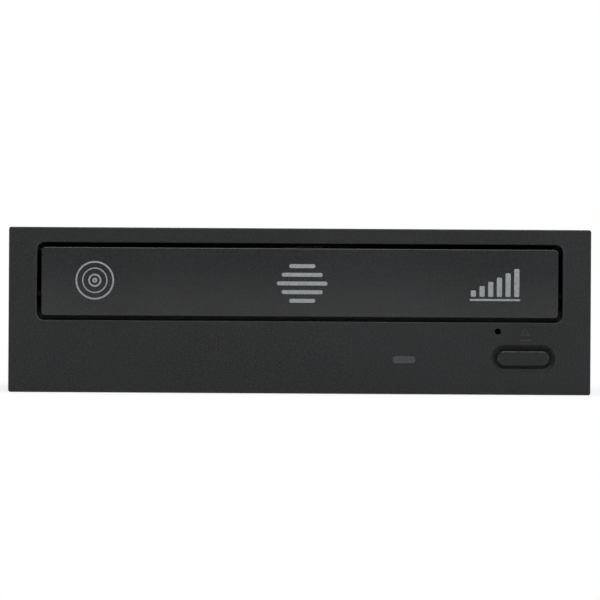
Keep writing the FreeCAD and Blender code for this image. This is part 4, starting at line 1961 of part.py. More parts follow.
def make_sled():
    """The pickup: a cast body on the rods, a cover, the yoke of the lens drive, the lens and a nut."""
    body = Piece("pickup_body").place(lifted=True)
    length = SLED_REAR - SLED_FRONT
    half = S.sled_half_width
    body.block(-half, SLED_FRONT, S.sled_bottom, half * 2, length, S.sled_top - S.sled_bottom)
    sleeve = S.rod_radius + S.sleeve_wall
    arm = S.rod_across - half + S.joint_bite
    hook_front = LENS_BACK - S.hook_length / 2
    body.block(-S.rod_across, SLED_FRONT, S.rod_up - S.rod_radius, arm, length, S.rod_radius * 2)
    hook_left = half - S.joint_bite
    body.block(hook_left, hook_front, S.rod_up - S.rod_radius, arm, S.hook_length, S.rod_radius * 2)
    ends = body.outline("XZ", SLED_FRONT)
    ends.circle(-S.rod_across, S.rod_up, sleeve)
    body.pad(ends, length, "+y")
    hook = body.outline("XZ", hook_front)
    hook.circle(S.rod_across, S.rod_up, sleeve)
    body.pad(hook, S.hook_length, "+y")
    rods = body.outline("XZ")
    for side in SIDES:
        rods.circle(S.rod_across * side, S.rod_up, S.rod_radius + S.fit_gap)
    body.cut_through(rods)
    # A well under the lens, open above and below for the light
    body.hollow(-S.well_half_width, LENS_BACK - S.well_half_length, S.sled_bottom + S.sled_wall,
                S.well_half_width * 2, S.well_half_length * 2, S.sled_top - S.sled_bottom)
    body.hollow(-half + S.sled_wall, SLED_FRONT + S.sled_wall, S.sled_bottom, half * 2 - S.sled_wall * 2,
                length - S.sled_wall * 2, S.sled_core)
    cover = Piece("pickup_cover").place(lifted=True)
    inset = S.sled_wall
    wide = half * 2 - inset * 2
    cover.block(-half + inset, SLED_FRONT + inset / 2, S.sled_top, wide, length - inset, S.cover_sheet)
    cover.hollow(-S.well_half_width, LENS_BACK - S.well_half_length, S.sled_top, S.well_half_width * 2,
                 S.well_half_length * 2, S.cover_sheet)
    yoke = Piece("actuator_yoke").place(lifted=True)
    floor = S.sled_bottom + S.sled_wall
    yoke_half = S.well_half_length - S.fit_gap
    yoke_side = S.well_half_width - S.fit_gap
    yoke.block(-yoke_side, LENS_BACK - yoke_half, floor, yoke_side * 2, yoke_half * 2, S.yoke_wall)
    walls = yoke.outline("XY", floor + S.yoke_wall)
    for front in (LENS_BACK - yoke_half, LENS_BACK + yoke_half - S.yoke_wall * 2):
        walls.rectangle(-S.yoke_half_width, front, S.yoke_half_width * 2, S.yoke_wall * 2)
    yoke.pad(walls, S.yoke_top - floor - S.yoke_wall, "+z")
    holder = Piece("lens_holder").place(lifted=True)
    holder_half = yoke_half - S.yoke_wall * 2 - S.holder_gap
    holder.block(-S.holder_half_width, LENS_BACK - holder_half, S.holder_bottom, S.holder_half_width * 2,
                 holder_half * 2, S.holder_top - S.holder_bottom)
    holder.bore(0, LENS_BACK, S.holder_bottom, S.lens_radius - S.lens_seat, S.holder_top - S.holder_bottom)
    lens = Piece("objective_lens").place(0, LENS_BACK, 0, lifted=True)
    dome = lens.outline("XZ")
    rise = S.lens_height
    profile_radius = (S.lens_radius * S.lens_radius + rise * rise) / (rise * 2)
    centre_up = S.holder_top + rise - profile_radius
    circle = Part.Circle(Vector(0, centre_up.number, 0), Vector(0, 0, 1), profile_radius.number)
    start_angle = math.asin((S.holder_top - centre_up).number / profile_radius.number)
    dome.sketch.addGeometry(Part.ArcOfCircle(circle, start_angle, math.pi / 2), False)
    top = Vector(0, (S.holder_top + rise).number, 0)
    low = Vector(0, S.holder_top.number, 0)
    rim = Vector(S.lens_radius.number, S.holder_top.number, 0)
    dome.sketch.addGeometry(Part.LineSegment(top, low), False)
    dome.sketch.addGeometry(Part.LineSegment(low, rim), False)
    dome.tie("Coincident", 0, 2, 1, 1)
    dome.tie("Coincident", 1, 2, 2, 1)
    dome.tie("Coincident", 2, 2, 0, 1)
    dome.pin(0, 3, 0, centre_up)
    dome.limit("Radius", 0, profile_radius)
    dome.limit("DistanceX", -1, 1, 1, 2, 0)
    dome.limit("DistanceY", -1, 1, 1, 2, S.holder_top)
    dome.tie("Vertical", 1)
    dome.tie("Horizontal", 2)
    lens.spin(dome)
    nut = Piece("sled_nut").place(lifted=True)
    arm_left = S.rod_across + sleeve - S.arm_bite
    nut_half = S.screw_radius + S.nut_wall
    nut_front = LENS_BACK - S.hook_length / 2
    block = nut.outline("XZ", nut_front)
    block.rectangle(S.screw_across - nut_half, SCREW_UP - nut_half, nut_half * 2, nut_half * 2)
    nut.pad(block, S.hook_length, "+y")
    arm = nut.outline("XZ", nut_front)
    arm_length = S.screw_across - nut_half - arm_left
    arm.rectangle(arm_left + S.arm_bite, SCREW_UP - S.rod_radius / 2, arm_length, S.rod_radius)
    nut.pad(arm, S.hook_length, "+y")
    nut.cut_through(nut.outline("XZ").circle(S.screw_across, SCREW_UP, S.screw_radius + S.fit_gap * 1.5))


# Electronics
POWER_CONTACTS = 15
DATA_CONTACTS = 7


def make_boards():
    """The main board with its parts and rear port, and the small board behind the panel."""
    board = Piece("main_board")
    half = S.board_half_width
    length = BOARD_REAR - S.board_front
    board.block(-half, S.board_front, S.board_up, half * 2, length, S.board_sheet)
    board.discs(CASE_SCREWS[2:], S.board_up, S.boss_radius + S.rail_gap, S.board_sheet, bore=True)
    board.discs(BOARD_SCREWS, S.board_up, S.small_screw_radius + S.fit_gap, S.board_sheet, bore=True)
    chips = Piece("circuit_chips", several=True)
    for chip in ("processor", "memory", "driver", "flash", "regulator"):
        across, back, width, length = (
            getattr(S, f"{chip}_{side}") for side in ("across", "back", "width", "length")
        )
        spot = chips.outline("XY", S.board_up).rectangle(across - width / 2, back - length / 2, width, length)
        chips.pad(spot, S.chip_height, "-z")
    pad = Piece("thermal_pad")
    pad_bottom = S.case_sheet + S.heat_pad_rise
    side = S.thermal_pad_side
    pad.block(S.processor_across - side / 2, S.processor_back - side / 2, pad_bottom, side, side,
              S.board_up - S.chip_height - pad_bottom)
    cans = Piece("capacitors", several=True)
    spots = [
        (across, back + S.capacitor_pitch * step)
        for across, back in (
            (S.right_capacitor_across, S.right_capacitor_back),
            (S.left_capacitor_across, S.left_capacitor_back),
        )
        for step in (0, 1)
    ]
    cans.discs(spots, BOARD_TOP, S.capacitor_radius, S.capacitor_height)
    sockets = Piece("board_sockets", several=True)
    for socket in ("wide", "narrow", "side"):
        left, front, width = (getattr(S, f"{socket}_socket_{part}") for part in ("left", "front", "width"))
        sockets.block(left, front, BOARD_TOP, width, S.socket_length, S.socket_height)
    housing = Piece("port_housing")
    left = S.port_across - S.port_width / 2
    front = S.case_depth - S.port_depth
    housing.block(left, front, BOARD_TOP, S.port_width, S.port_depth, S.port_height)
    mouth = housing.outline("XZ", S.case_depth)
    wall = S.port_wall
    mouth.rectangle(left + wall, BOARD_TOP + wall, S.port_width - wall * 2, S.port_height - wall * 2)
    housing.cut(mouth, S.port_depth - wall * 2, "-y")
    tongue_up = BOARD_TOP + S.port_height / 2 - S.tongue_height / 2
    tongues = housing.outline("XZ", front + wall)
    tongues.rectangle(left + wall + S.rail_gap * 3, tongue_up, S.power_tongue, S.tongue_height)
    data_left = left + S.port_width - wall - S.rail_gap * 3 - S.data_tongue
    tongues.rectangle(data_left, tongue_up, S.data_tongue, S.tongue_height)
    housing.pad(tongues, S.port_depth - wall - S.rail_gap * 2, "+y")
    contacts = Piece("port_contacts", several=True)
    pins = contacts.outline("XY", tongue_up + S.tongue_height)
    power_start = left + wall + S.rail_gap * 3 + S.power_contact_inset
    data_start = data_left + S.data_contact_inset
    for start, count in ((power_start, POWER_CONTACTS), (data_start, DATA_CONTACTS)):
        for number in range(count):
            place = start + S.contact_pitch * number
            pins.rectangle(place, front + S.port_depth / 2, S.contact_width, S.port_depth / 3)
    contacts.pad(pins, S.contact_height, "+z")
    small = Piece("front_board")
    back = S.front_board_back
    face = small.outline("XZ", back).rectangle(
        S.front_board_left, S.front_board_bottom, S.front_board_width, DECK_BOTTOM - S.front_board_bottom)
    small.pad(face, S.front_board_sheet, "+y")
    holes = small.outline("XZ")
    for across in FRONT_BOARD_SCREWS:
        holes.circle(across, S.front_screw_up, S.small_screw_radius + S.fit_gap)
    small.cut_through(holes)
    switch = Piece("eject_switch")
    body = switch.outline("XZ", back)
    switch_left = S.button_across - S.switch_width / 2
    body.rectangle(switch_left, S.button_up - S.switch_below, S.switch_width, S.switch_height)
    switch.pad(body, S.switch_depth - S.switch_plunger, "-y")
    plunger = switch.outline("XZ", back - S.switch_depth + S.switch_plunger)
    plunger.circle(S.button_across, S.button_up, S.stem_radius)
    switch.pad(plunger, S.switch_plunger - S.fit_gap / 2, "-y")
    lamp = Piece("indicator_lamp")
    dome = lamp.outline("XZ", back).rectangle(
        S.lamp_across - S.lamp_body_width / 2,
        S.lamp_up - S.lamp_body_height / 2,
        S.lamp_body_width,
        S.lamp_body_height,
    )
    lamp.pad(dome, S.lamp_body_depth, "-y")
    ribbon = Piece("front_ribbon")
    band = ribbon.outline("YZ", S.ribbon_left)
    t = S.ribbon_sheet
    board_rear = back + S.front_board_sheet
    band.polygon(
        (board_rear, S.front_board_bottom + 2),
        (board_rear, S.ribbon_up),
        (S.board_front + 6, S.ribbon_up),
        (S.board_front + 6, S.board_up),
        (S.board_front + 6 - t, S.board_up),
        (S.board_front + 6 - t, S.ribbon_up + t),
        (board_rear + t, S.ribbon_up + t),
        (board_rear + t, S.front_board_bottom + 2),
    )
    ribbon.pad(band, S.ribbon_width, "+x")


def make_fasteners():
    """The screws of the case, the bridge, the boards and the loading motor."""
    make_screws("case_screws", CASE_SCREWS, S.case_sheet, S.case_screw_length, S.case_screw_radius,
                head=S.case_screw_head, height=S.case_sheet - S.head_sink, down=False)
    make_screws("bridge_screws", BRIDGE_SCREWS, BRIDGE_TOP, S.bridge_screw_length - 0.5, S.small_screw_radius)
    motor_screw_length = S.deck_thickness + S.motor_cap * 2
    make_screws("motor_screws", MOTOR_SCREWS, S.deck_top, motor_screw_length, S.small_screw_radius)
    boards = make_screws("board_screws", BOARD_SCREWS, S.board_up, S.board_screw_length, S.small_screw_radius,
                         down=False)
    back = S.front_board_back
    heads = boards.outline("XZ", back)
    shanks = boards.outline("XZ", back)
    for across in FRONT_BOARD_SCREWS:
        heads.circle(across, S.front_screw_up, S.pan_head_radius)
        shanks.circle(across, S.front_screw_up, S.small_screw_radius)
    boards.pad(heads, S.pan_head_height, "-y")
    boards.pad(shanks, S.front_board_sheet + S.boss_radius - S.rail_gap, "+y")


make_front_panel()
make_tray_door()
make_button()
make_lamp_window()
make_top_cover()
make_bottom_cover()
make_chassis()
make_chassis_front()
make_tray()
make_bridge()
make_clamp()
make_gears()
make_belt_drive()
make_cam_slider()
make_lift_frame()
make_pickup_base()
make_dampers()
make_spindle()
make_sled_drive()
make_sled()
make_boards()
make_fasteners()

doc.recompute()
failed = [f"{o.Name} {o.Label}" for o in doc.Objects if "Invalid" in o.State or "Error" in o.State]
if failed:
    raise SystemExit(f"These did not build: {failed}")
for body in pieces:
    if body.Shape.isNull() or not body.Shape.isValid():
        raise SystemExit(f"{body.Label} has no valid shape")
os.makedirs("parts", exist_ok=True)
for body in pieces:
    body.Shape.exportStep(f"parts/{body.Label}.step")
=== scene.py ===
"""Dresses the half-height disc writer: its studio, its finishes and the fine pieces that sit on its solids."""

import json
import logging
import math
from collections.abc import Callable
from dataclasses import dataclass, field
from enum import Enum

import bmesh
import bpy
from mathutils import Matrix, Vector
from mathutils.bvhtree import BVHTree

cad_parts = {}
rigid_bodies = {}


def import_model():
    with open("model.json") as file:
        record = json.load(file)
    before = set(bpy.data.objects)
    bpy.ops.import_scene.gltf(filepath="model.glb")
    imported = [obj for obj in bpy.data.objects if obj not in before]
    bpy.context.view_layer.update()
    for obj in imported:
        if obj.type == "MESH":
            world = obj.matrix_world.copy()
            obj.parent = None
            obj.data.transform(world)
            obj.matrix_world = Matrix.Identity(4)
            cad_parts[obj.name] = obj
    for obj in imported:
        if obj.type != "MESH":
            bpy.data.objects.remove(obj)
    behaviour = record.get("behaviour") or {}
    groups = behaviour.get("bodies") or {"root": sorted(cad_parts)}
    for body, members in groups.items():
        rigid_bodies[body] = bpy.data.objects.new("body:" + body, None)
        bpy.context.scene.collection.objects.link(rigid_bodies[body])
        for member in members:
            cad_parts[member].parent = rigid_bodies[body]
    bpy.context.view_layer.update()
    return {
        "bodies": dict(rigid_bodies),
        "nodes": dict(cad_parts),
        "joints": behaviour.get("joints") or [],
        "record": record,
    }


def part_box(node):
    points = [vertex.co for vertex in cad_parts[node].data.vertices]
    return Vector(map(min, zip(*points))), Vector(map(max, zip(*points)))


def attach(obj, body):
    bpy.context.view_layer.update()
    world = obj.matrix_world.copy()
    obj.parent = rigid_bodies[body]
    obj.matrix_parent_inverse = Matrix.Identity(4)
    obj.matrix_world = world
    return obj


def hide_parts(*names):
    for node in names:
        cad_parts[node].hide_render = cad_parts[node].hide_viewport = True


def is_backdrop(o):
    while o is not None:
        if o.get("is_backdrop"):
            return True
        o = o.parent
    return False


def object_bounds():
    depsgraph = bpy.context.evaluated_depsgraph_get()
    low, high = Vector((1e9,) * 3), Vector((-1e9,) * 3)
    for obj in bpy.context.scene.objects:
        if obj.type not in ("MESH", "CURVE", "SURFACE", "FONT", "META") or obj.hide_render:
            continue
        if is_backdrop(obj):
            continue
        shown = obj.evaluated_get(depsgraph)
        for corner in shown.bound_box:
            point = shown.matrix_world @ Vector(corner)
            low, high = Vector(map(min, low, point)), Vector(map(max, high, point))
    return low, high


log = logging.getLogger("disc_writer")

Colour = tuple[float, float, float, float]
Point = tuple[float, float, float]
Socket = bpy.types.NodeSocket
Group = bpy.types.NodeTree

# The lifting unit's lean at rest, and the distance under which two vertices are one, in metres
LOWERED = math.radians(5.0)
SAME_PLACE = 0.000001

# The segments of a plate's round corner, of a ring and of a small ring
CORNER_STEPS, RING_STEPS, HUB_STEPS = 4, 64, 24

# The spans of a value over which something changes: the middle of a noise, the same of a grain and of the
# patches on a surface, and the whole of a mask
NOISE_SPAN, GRAIN_SPAN, PATCH_SPAN, MASK_SPAN = (0.3, 0.7), (0.25, 0.75), (0.35, 0.75), (0.0, 1.0)


def shown(red: int, green: int, blue: int) -> Colour:
    """Turns a colour as a screen shows it into the linear colour of a shader.

    Args:
        red: Red from 0 to 255.
        green: Green from 0 to 255.
        blue: Blue from 0 to 255.

    Returns:
        The linear colour with full alpha.
    """
    parts = []
    for value in (red, green, blue):
        share = value / 255
        parts.append(share / 12.92 if share <= 0.04045 else ((share + 0.055) / 1.055) ** 2.4)
    return (parts[0], parts[1], parts[2], 1.0)


WHITE = (1.0, 1.0, 1.0, 1.0)
DUST_ON_PLASTIC = shown(150, 147, 142)
DUST_ON_STEEL = shown(172, 168, 160)
VIA_GOLD = shown(196, 164, 92)
TINNED_WIRE = shown(150, 146, 138)
LENS_BLOOM = shown(150, 160, 235)


class Turned(Enum):
    """How the axis that a piece was turned about lies."""

    UP = (0.0, 0.0, 0.0)
    LOWERED_BACK = (math.pi / 2 + LOWERED, 0.0, 0.0)


class Wiring:
    """Adds nodes to one tree and joins them."""

    def __init__(self, tree: Group) -> None:
        """Keeps the tree that is wired."""
        self.tree = tree

    def add(self, kind: str, **settings: object) -> bpy.types.Node:
        """Adds one node.

        Args:
            kind: The node's type name.
            settings: Attributes to set on the node.

        Returns:
            The new node.
        """
        node = self.tree.nodes.new(kind)
        for name, value in settings.items():
            setattr(node, name, value)
        return node

    def join(self, source: Socket, target: Socket) -> None:
        """Links an output to an input."""
        self.tree.links.new(source, target)

    def feed(self, target: Socket, value: object) -> None:
        """Links a socket to an input, or sets the input where the value is plain.

        Args:
            target: The input.
            value: The socket or the plain value.
        """
        if isinstance(value, Socket):
            self.join(value, target)
        else:
            target.default_value = value

    def put(self, node: bpy.types.Node, **values: object) -> bpy.types.Node:
        """Feeds inputs of a node by their names.

        Args:
            node: The node.
            values: The socket or plain value of each input, with underscores for spaces.

        Returns:
            The same node.
        """
        for name, value in values.items():
            self.feed(node.inputs[name.replace("_", " ")], value)
        return node

    def math(self, operation: str, first: object, second: object = 0.0) -> Socket:
        """Adds one Math node.

        Args:
            operation: The node's operation.
            first: The first value or socket.
            second: The second value or socket.

        Returns:
            The node's output.
        """
        node = self.add("ShaderNodeMath", operation=operation)
        self.feed(node.inputs[0], first)
        self.feed(node.inputs[1], second)
        return node.outputs[0]

    def times(self, first: object, second: object) -> Socket:
        """Multiplies two values."""
        return self.math("MULTIPLY", first, second)

    def plus(self, first: object, second: object) -> Socket:
        """Adds two values."""
        return self.math("ADD", first, second)

    def minus(self, first: object, second: object) -> Socket:
        """Takes the second value from the first."""
        return self.math("SUBTRACT", first, second)

    def vector(self, operation: str, first: Socket, second: Socket | None = None) -> Socket:
        """Adds one Vector Math node.

        Args:
            operation: The node's operation.
            first: The first vector.
            second: The second vector, where the operation has one.

        Returns:
            The node's vector.
        """
        node = self.add("ShaderNodeVectorMath", operation=operation)
        self.join(first, node.inputs[0])
        if second is not None:
            self.join(second, node.inputs[1])
        return node.outputs[0]

    def split(self, vector: Socket) -> bpy.types.NodeOutputs:
        """Takes a vector apart.

        Args:
            vector: The vector.

        Returns:
            Its three parts.
        """
        node = self.add("ShaderNodeSeparateXYZ")
        self.join(vector, node.inputs[0])
        return node.outputs

    def ramp(self, value: object, low: float, high: float, start: object = 0.0, end: object = 1.0) -> Socket:
        """Maps a value softly from one range to another.

        Args:
            value: The value or socket to map.
            low: Where the source range starts.
            high: Where the source range ends.
            start: The result at the low end.
            end: The result at the high end.

        Returns:
            The mapped value.
        """
        node = self.add("ShaderNodeMapRange", interpolation_type="SMOOTHSTEP")
        self.put(node, Value=value, From_Min=low, From_Max=high, To_Min=start, To_Max=end)
        return node.outputs["Result"]

    def noise(self, vector: Socket, scale: object, detail: float, rough: float) -> Socket:
        """Adds a noise texture.

        Args:
            vector: The coordinates it reads.
            scale: Its scale, in one over metres.
            detail: Its octaves.
            rough: How strong the finer octaves are.

        Returns:
            The noise value.
        """
        node = self.add("ShaderNodeTexNoise")
        self.put(node, Vector=vector, Scale=scale, Detail=detail, Roughness=rough)
        return node.outputs["Fac"]

    def cells(self, vector: Socket, scale: object, feature: str = "F1") -> bpy.types.Node:
        """Adds a Voronoi texture that measures its cells by a feature, its scale in one over metres."""
        return self.put(self.add("ShaderNodeTexVoronoi", feature=feature), Vector=vector, Scale=scale)

    def blend(self, share: object, first: object, second: object) -> Socket:
        """Mixes two colours.

        Args:
            share: How much of the second colour shows.
            first: The first colour or socket.
            second: The second colour or socket.

        Returns:
            The mixed colour.
        """
        node = self.add("ShaderNodeMix", data_type="RGBA")
        for place, value in ((0, share), (6, first), (7, second)):
            self.feed(node.inputs[place], value)
        return node.outputs[2]


class Skin(Wiring):
    """The wiring of one material, with its Principled shader and its Object coordinates."""

    def __init__(self, material: bpy.types.Material) -> None:
        """Finds the shader and adds the coordinates.

        Args:
            material: The material, with its nodes on.
        """
        super().__init__(material.node_tree)
        self.material = material
        self.shader = material.node_tree.nodes["Principled BSDF"]
        self.place = self.add("ShaderNodeTexCoord").outputs["Object"]

    def effect(self, tree: Group, **values: object) -> bpy.types.NodeOutputs:
        """Places a shared effect in the material, on the piece's own place where no other vector is given."""
        values.setdefault("Vector", self.place)
        return self.put(self.add("ShaderNodeGroup", node_tree=tree), **values).outputs

    def paint(self, share: object, first: object, second: object) -> None:
        """Feeds a blend of two colours to the base colour."""
        self.put(self.shader, Base_Color=self.blend(share, first, second))

    def vary(self, value: Socket, least: float, most: float, span: tuple[float, float] = NOISE_SPAN) -> None:
        """Feeds the roughness with a range that follows a value over a span of it."""
        self.put(self.shader, Roughness=self.ramp(value, *span, least, most))

    def under(self, name: str) -> Socket:
        """Returns what feeds an input of the shader so far."""
        return self.shader.inputs[name].links[0].from_socket

    def bump(self, height: Socket, strength: float, depth: float) -> None:
        """Feeds a height to the shader's normal, with a strength and a depth in metres."""
        node = self.put(self.add("ShaderNodeBump"), Strength=strength, Distance=depth, Height=height)
        self.put(self.shader, Normal=node.outputs[0])


def built_once(build: Callable[[], Group]) -> Callable[[], Group]:
    """Has the node group of an effect built the first time only.

    Args:
        build: The function that builds the group, with the group's name.

    Returns:
        A function that finds the group, or builds it.
    """

    def find() -> Group:
        """Returns the node group."""
        return bpy.data.node_groups.get(build.__name__) or build()

    return find


class Effects:
    """The surface effects that several finishes share, each one a node group that is built once."""

    @staticmethod
    def start(
        name: str, vectors: tuple[str, ...], numbers: tuple[str, ...], outputs: tuple[str, ...]
    ) -> tuple[Wiring, dict[str, Socket], bpy.types.Node]:
        """Starts a node group with its sockets.

        Args:
            name: The group's name.
            vectors: The names of its vector inputs.
            numbers: The names of its float inputs.
            outputs: The names of its float outputs.

        Returns:
            The wiring, the input sockets by name, and the output node.
        """
        tree = bpy.data.node_groups.new(name, "ShaderNodeTree")
        for label in vectors:
            tree.interface.new_socket(name=label, in_out="INPUT", socket_type="NodeSocketVector")
        for label in numbers:
            tree.interface.new_socket(name=label, in_out="INPUT", socket_type="NodeSocketFloat")
        for label in outputs:
            tree.interface.new_socket(name=label, in_out="OUTPUT", socket_type="NodeSocketFloat")
        wiring = Wiring(tree)
        entry = wiring.add("NodeGroupInput")
        return wiring, {label: entry.outputs[label] for label in vectors + numbers}, wiring.add("NodeGroupOutput")

    @staticmethod
    @built_once
    def moulded_grain() -> Group:
        """Makes the fine spark-eroded grain of a moulded face, a broad change of its shade and its pale specks.

        Returns:
            The node group.
        """
        w, given, leave = Effects.start("moulded_grain", ("Vector",), ("Scale",), ("Height", "Shade", "Speck"))
        place, scale = given["Vector"], given["Scale"]
        fine = w.noise(place, scale, 4.0, 0.65)
        cells = w.cells(place, w.times(scale, 0.6), "SMOOTH_F1").outputs["Distance"]
        speck = w.noise(place, w.times(scale, 0.9), 1.0, 0.5)
        w.put(
            leave,
            Height=w.plus(w.times(fine, 0.7), w.times(cells, 0.3)),
            Shade=w.noise(place, w.times(scale, 0.012), 2.0, 0.5),
            Speck=w.ramp(speck, 0.46, 0.68),
        )
        return w.tree

    @staticmethod
    @built_once
    def edge_wear_and_highlight() -> Group:
        """Makes the mask of the scuffed edges of a box-like piece, broken up along their length; on the button it
        places a painted highlight.

        Returns:
            The node group.
        """
        w, given, leave = Effects.start("edge_wear_and_highlight", ("Vector", "Centre", "Half"), ("Width", "Breaks"), ("Mask",))
        size = w.vector("ABSOLUTE", w.vector("SUBTRACT", given["Vector"], given["Centre"]))
        across, back, up = w.split(w.vector("SUBTRACT", given["Half"], size))
        nearer = w.math("MINIMUM", across, back)
        further = w.math("MAXIMUM", across, back)
        middle = w.math("MAXIMUM", nearer, w.math("MINIMUM", further, up))
        edge = w.ramp(w.math("DIVIDE", middle, given["Width"]), 0.0, 1.0, 1.0, 0.0)
        breaks = w.ramp(w.noise(given["Vector"], given["Breaks"], 4.0, 0.6), 0.42, 0.62)
        w.put(leave, Mask=w.times(edge, breaks))
        return w.tree

    @staticmethod
    @built_once
    def opening_rim() -> Group:
        """Makes the masks of the painted highlight on the rim outside a rounded opening, of the painted shade on the
        step inside it, and of its two ends, to which the painted highlight keeps.

        Returns:
            The node group.
        """
        w, given, leave = Effects.start(
            "opening_rim", ("Vector", "Centre", "Half"), ("Radius", "Width"), ("Rim", "Step", "Side")
        )
        radius = given["Radius"]
        size = w.vector("ABSOLUTE", w.vector("SUBTRACT", given["Vector"], given["Centre"]))
        over = w.split(w.vector("SUBTRACT", size, given["Half"]))
        across, up = w.plus(over[0], radius), w.plus(over[2], radius)
        corner_across, corner_up = w.math("MAXIMUM", across, 0.0), w.math("MAXIMUM", up, 0.0)
        squares = w.plus(w.times(corner_across, corner_across), w.times(corner_up, corner_up))
        inner = w.math("MINIMUM", w.math("MAXIMUM", across, up), 0.0)
        distance = w.minus(w.plus(w.math("SQRT", squares), inner), radius)
        share = w.math("DIVIDE", distance, given["Width"])
        w.put(
            leave,
            Rim=w.times(w.ramp(share, -0.2, 0.15), w.ramp(share, 0.5, 1.2, 1.0, 0.0)),
            Step=w.times(w.ramp(share, -1.0, -0.4), w.ramp(share, -0.3, 0.1, 1.0, 0.0)),
            Side=w.ramp(w.minus(corner_across, corner_up), -0.0016, 0.0004),
        )
        return w.tree

    @staticmethod
    @built_once
    def settled_dust() -> Group:
        """Makes the mask of the fine dust that lies on faces that look up.

        Returns:
            The node group.
        """
        w, given, leave = Effects.start("settled_dust", ("Vector",), ("Scale", "Amount"), ("Mask",))
        facing = w.split(w.add("ShaderNodeNewGeometry").outputs["Normal"])
        upward = w.ramp(facing[2], 0.35, 0.95)
        patches = w.ramp(w.noise(given["Vector"], given["Scale"], 5.0, 0.7), *PATCH_SPAN)
        w.put(leave, Mask=w.times(w.times(upward, patches), given["Amount"]))
        return w.tree

    @staticmethod
    @built_once
    def rolled_grain() -> Group:
        """Makes the long fine lines that rolling leaves in sheet metal, and the soft flowers of its zinc.

        Returns:
            The node group.
        """
        w, given, leave = Effects.start("rolled_grain", ("Vector",), ("Scale",), ("Height", "Flower", "Smudge"))
        place, scale = given["Vector"], given["Scale"]
        drawn = w.put(w.add("ShaderNodeMapping"), Vector=place, Scale=(1.0, 0.012, 1.0))
        grey = w.add("ShaderNodeSeparateColor")
        w.join(w.cells(place, w.times(scale, 0.3)).outputs["Color"], grey.inputs[0])
        w.put(
            leave,
            Height=w.noise(drawn.outputs[0], scale, 4.0, 0.75),
            Flower=grey.outputs[0],
            Smudge=w.ramp(w.noise(place, w.times(scale, 0.006), 3.0, 0.55), 0.4, 0.7),
        )
        return w.tree

    @staticmethod
    @built_once
    def lathe_rings() -> Group:
        """Makes the fine rings that turning leaves about a piece's own axis.

        Returns:
            The node group.
        """
        w, given, leave = Effects.start("lathe_rings", ("Vector",), ("Scale",), ("Height",))
        across, back, up = w.split(given["Vector"])
        radius = w.math("SQRT", w.plus(w.times(across, across), w.times(back, back)))
        travel = w.plus(w.times(radius, given["Scale"]), w.times(up, given["Scale"]))
        rings = w.put(w.add("ShaderNodeTexNoise", noise_dimensions="1D"), W=travel, Scale=1.0, Detail=3.0)
        w.put(leave, Height=rings.outputs["Fac"])
        return w.tree


@dataclass(frozen=True)
class Finish:
    """What every finish has: a name, a colour and how rough it is."""

    name: str
    colour: Colour
    roughness: float

    def tinted(self, share: float, lift: float = 0.0) -> Colour:
        """Returns the colour times a share, plus a lift, and no brighter than white."""
        return tuple(min(1.0, part * share + lift) for part in self.colour[:3]) + (1.0,)

    def start(self, **plain: object) -> Skin:
        """Starts the material of this finish.

        Args:
            plain: Each shader input that has one value all over, with underscores for spaces.

        Returns:
            The wiring of the material.
        """
        material = bpy.data.materials.new(self.name)
        material.use_nodes = True
        material.diffuse_color = self.colour
        skin = Skin(material)
        skin.put(skin.shader, Base_Color=self.colour, Roughness=self.roughness, **plain)
        return skin

    def material(self) -> bpy.types.Material:
        """Makes the material, or finds it where it was made before."""
        return bpy.data.materials.get(self.name) or self.build()

    def build(self) -> bpy.types.Material:
        """Makes the plain material; each finish adds its own surface."""
        return self.start().material


@dataclass(frozen=True)
class Moulding(Finish):
    """Injection-moulded plastic with a spark-eroded grain, soft shade changes and dust on top."""

    grain: float = 2600.0
    depth: float = 0.000012
    strength: float = 0.35
    specular: float = 0.35
    shade: float = 0.12
    speck: float = 0.0
    speck_light: float = 2.2
    dust: float = 0.12
    dust_scale: float = 420.0
    dust_dulls: float = 0.25
    smoother: float = 0.06
    rougher: float = 0.08
    glow: float = 0.0
    glow_depth: float = 0.002

    def build(self) -> bpy.types.Material:
        """Wires the grain, the shade and the dust.

        Returns:
            The material.
        """
        skin = self.start(Specular_IOR_Level=self.specular)
        grain = skin.effect(Effects.moulded_grain(), Scale=self.grain)
        dust = skin.effect(Effects.settled_dust(), Scale=self.dust_scale, Amount=self.dust)["Mask"]
        shades = (self.tinted(1 - self.shade), self.tinted(1 + self.shade))
        body = skin.blend(skin.ramp(grain["Shade"], *NOISE_SPAN), *shades)
        specked = skin.blend(skin.times(grain["Speck"], self.speck), body, self.tinted(self.speck_light))
        skin.paint(dust, specked, DUST_ON_PLASTIC)
        least, most = self.roughness - self.smoother, self.roughness + self.rougher
        rough = skin.ramp(grain["Height"], *GRAIN_SPAN, least, most)
        skin.put(skin.shader, Roughness=skin.plus(rough, skin.times(dust, self.dust_dulls)))
        if self.glow:
            skin.put(skin.shader, Subsurface_Weight=self.glow, Subsurface_Radius=(self.glow_depth,) * 3)
        skin.bump(grain["Height"], self.strength, self.depth)
        return skin.material


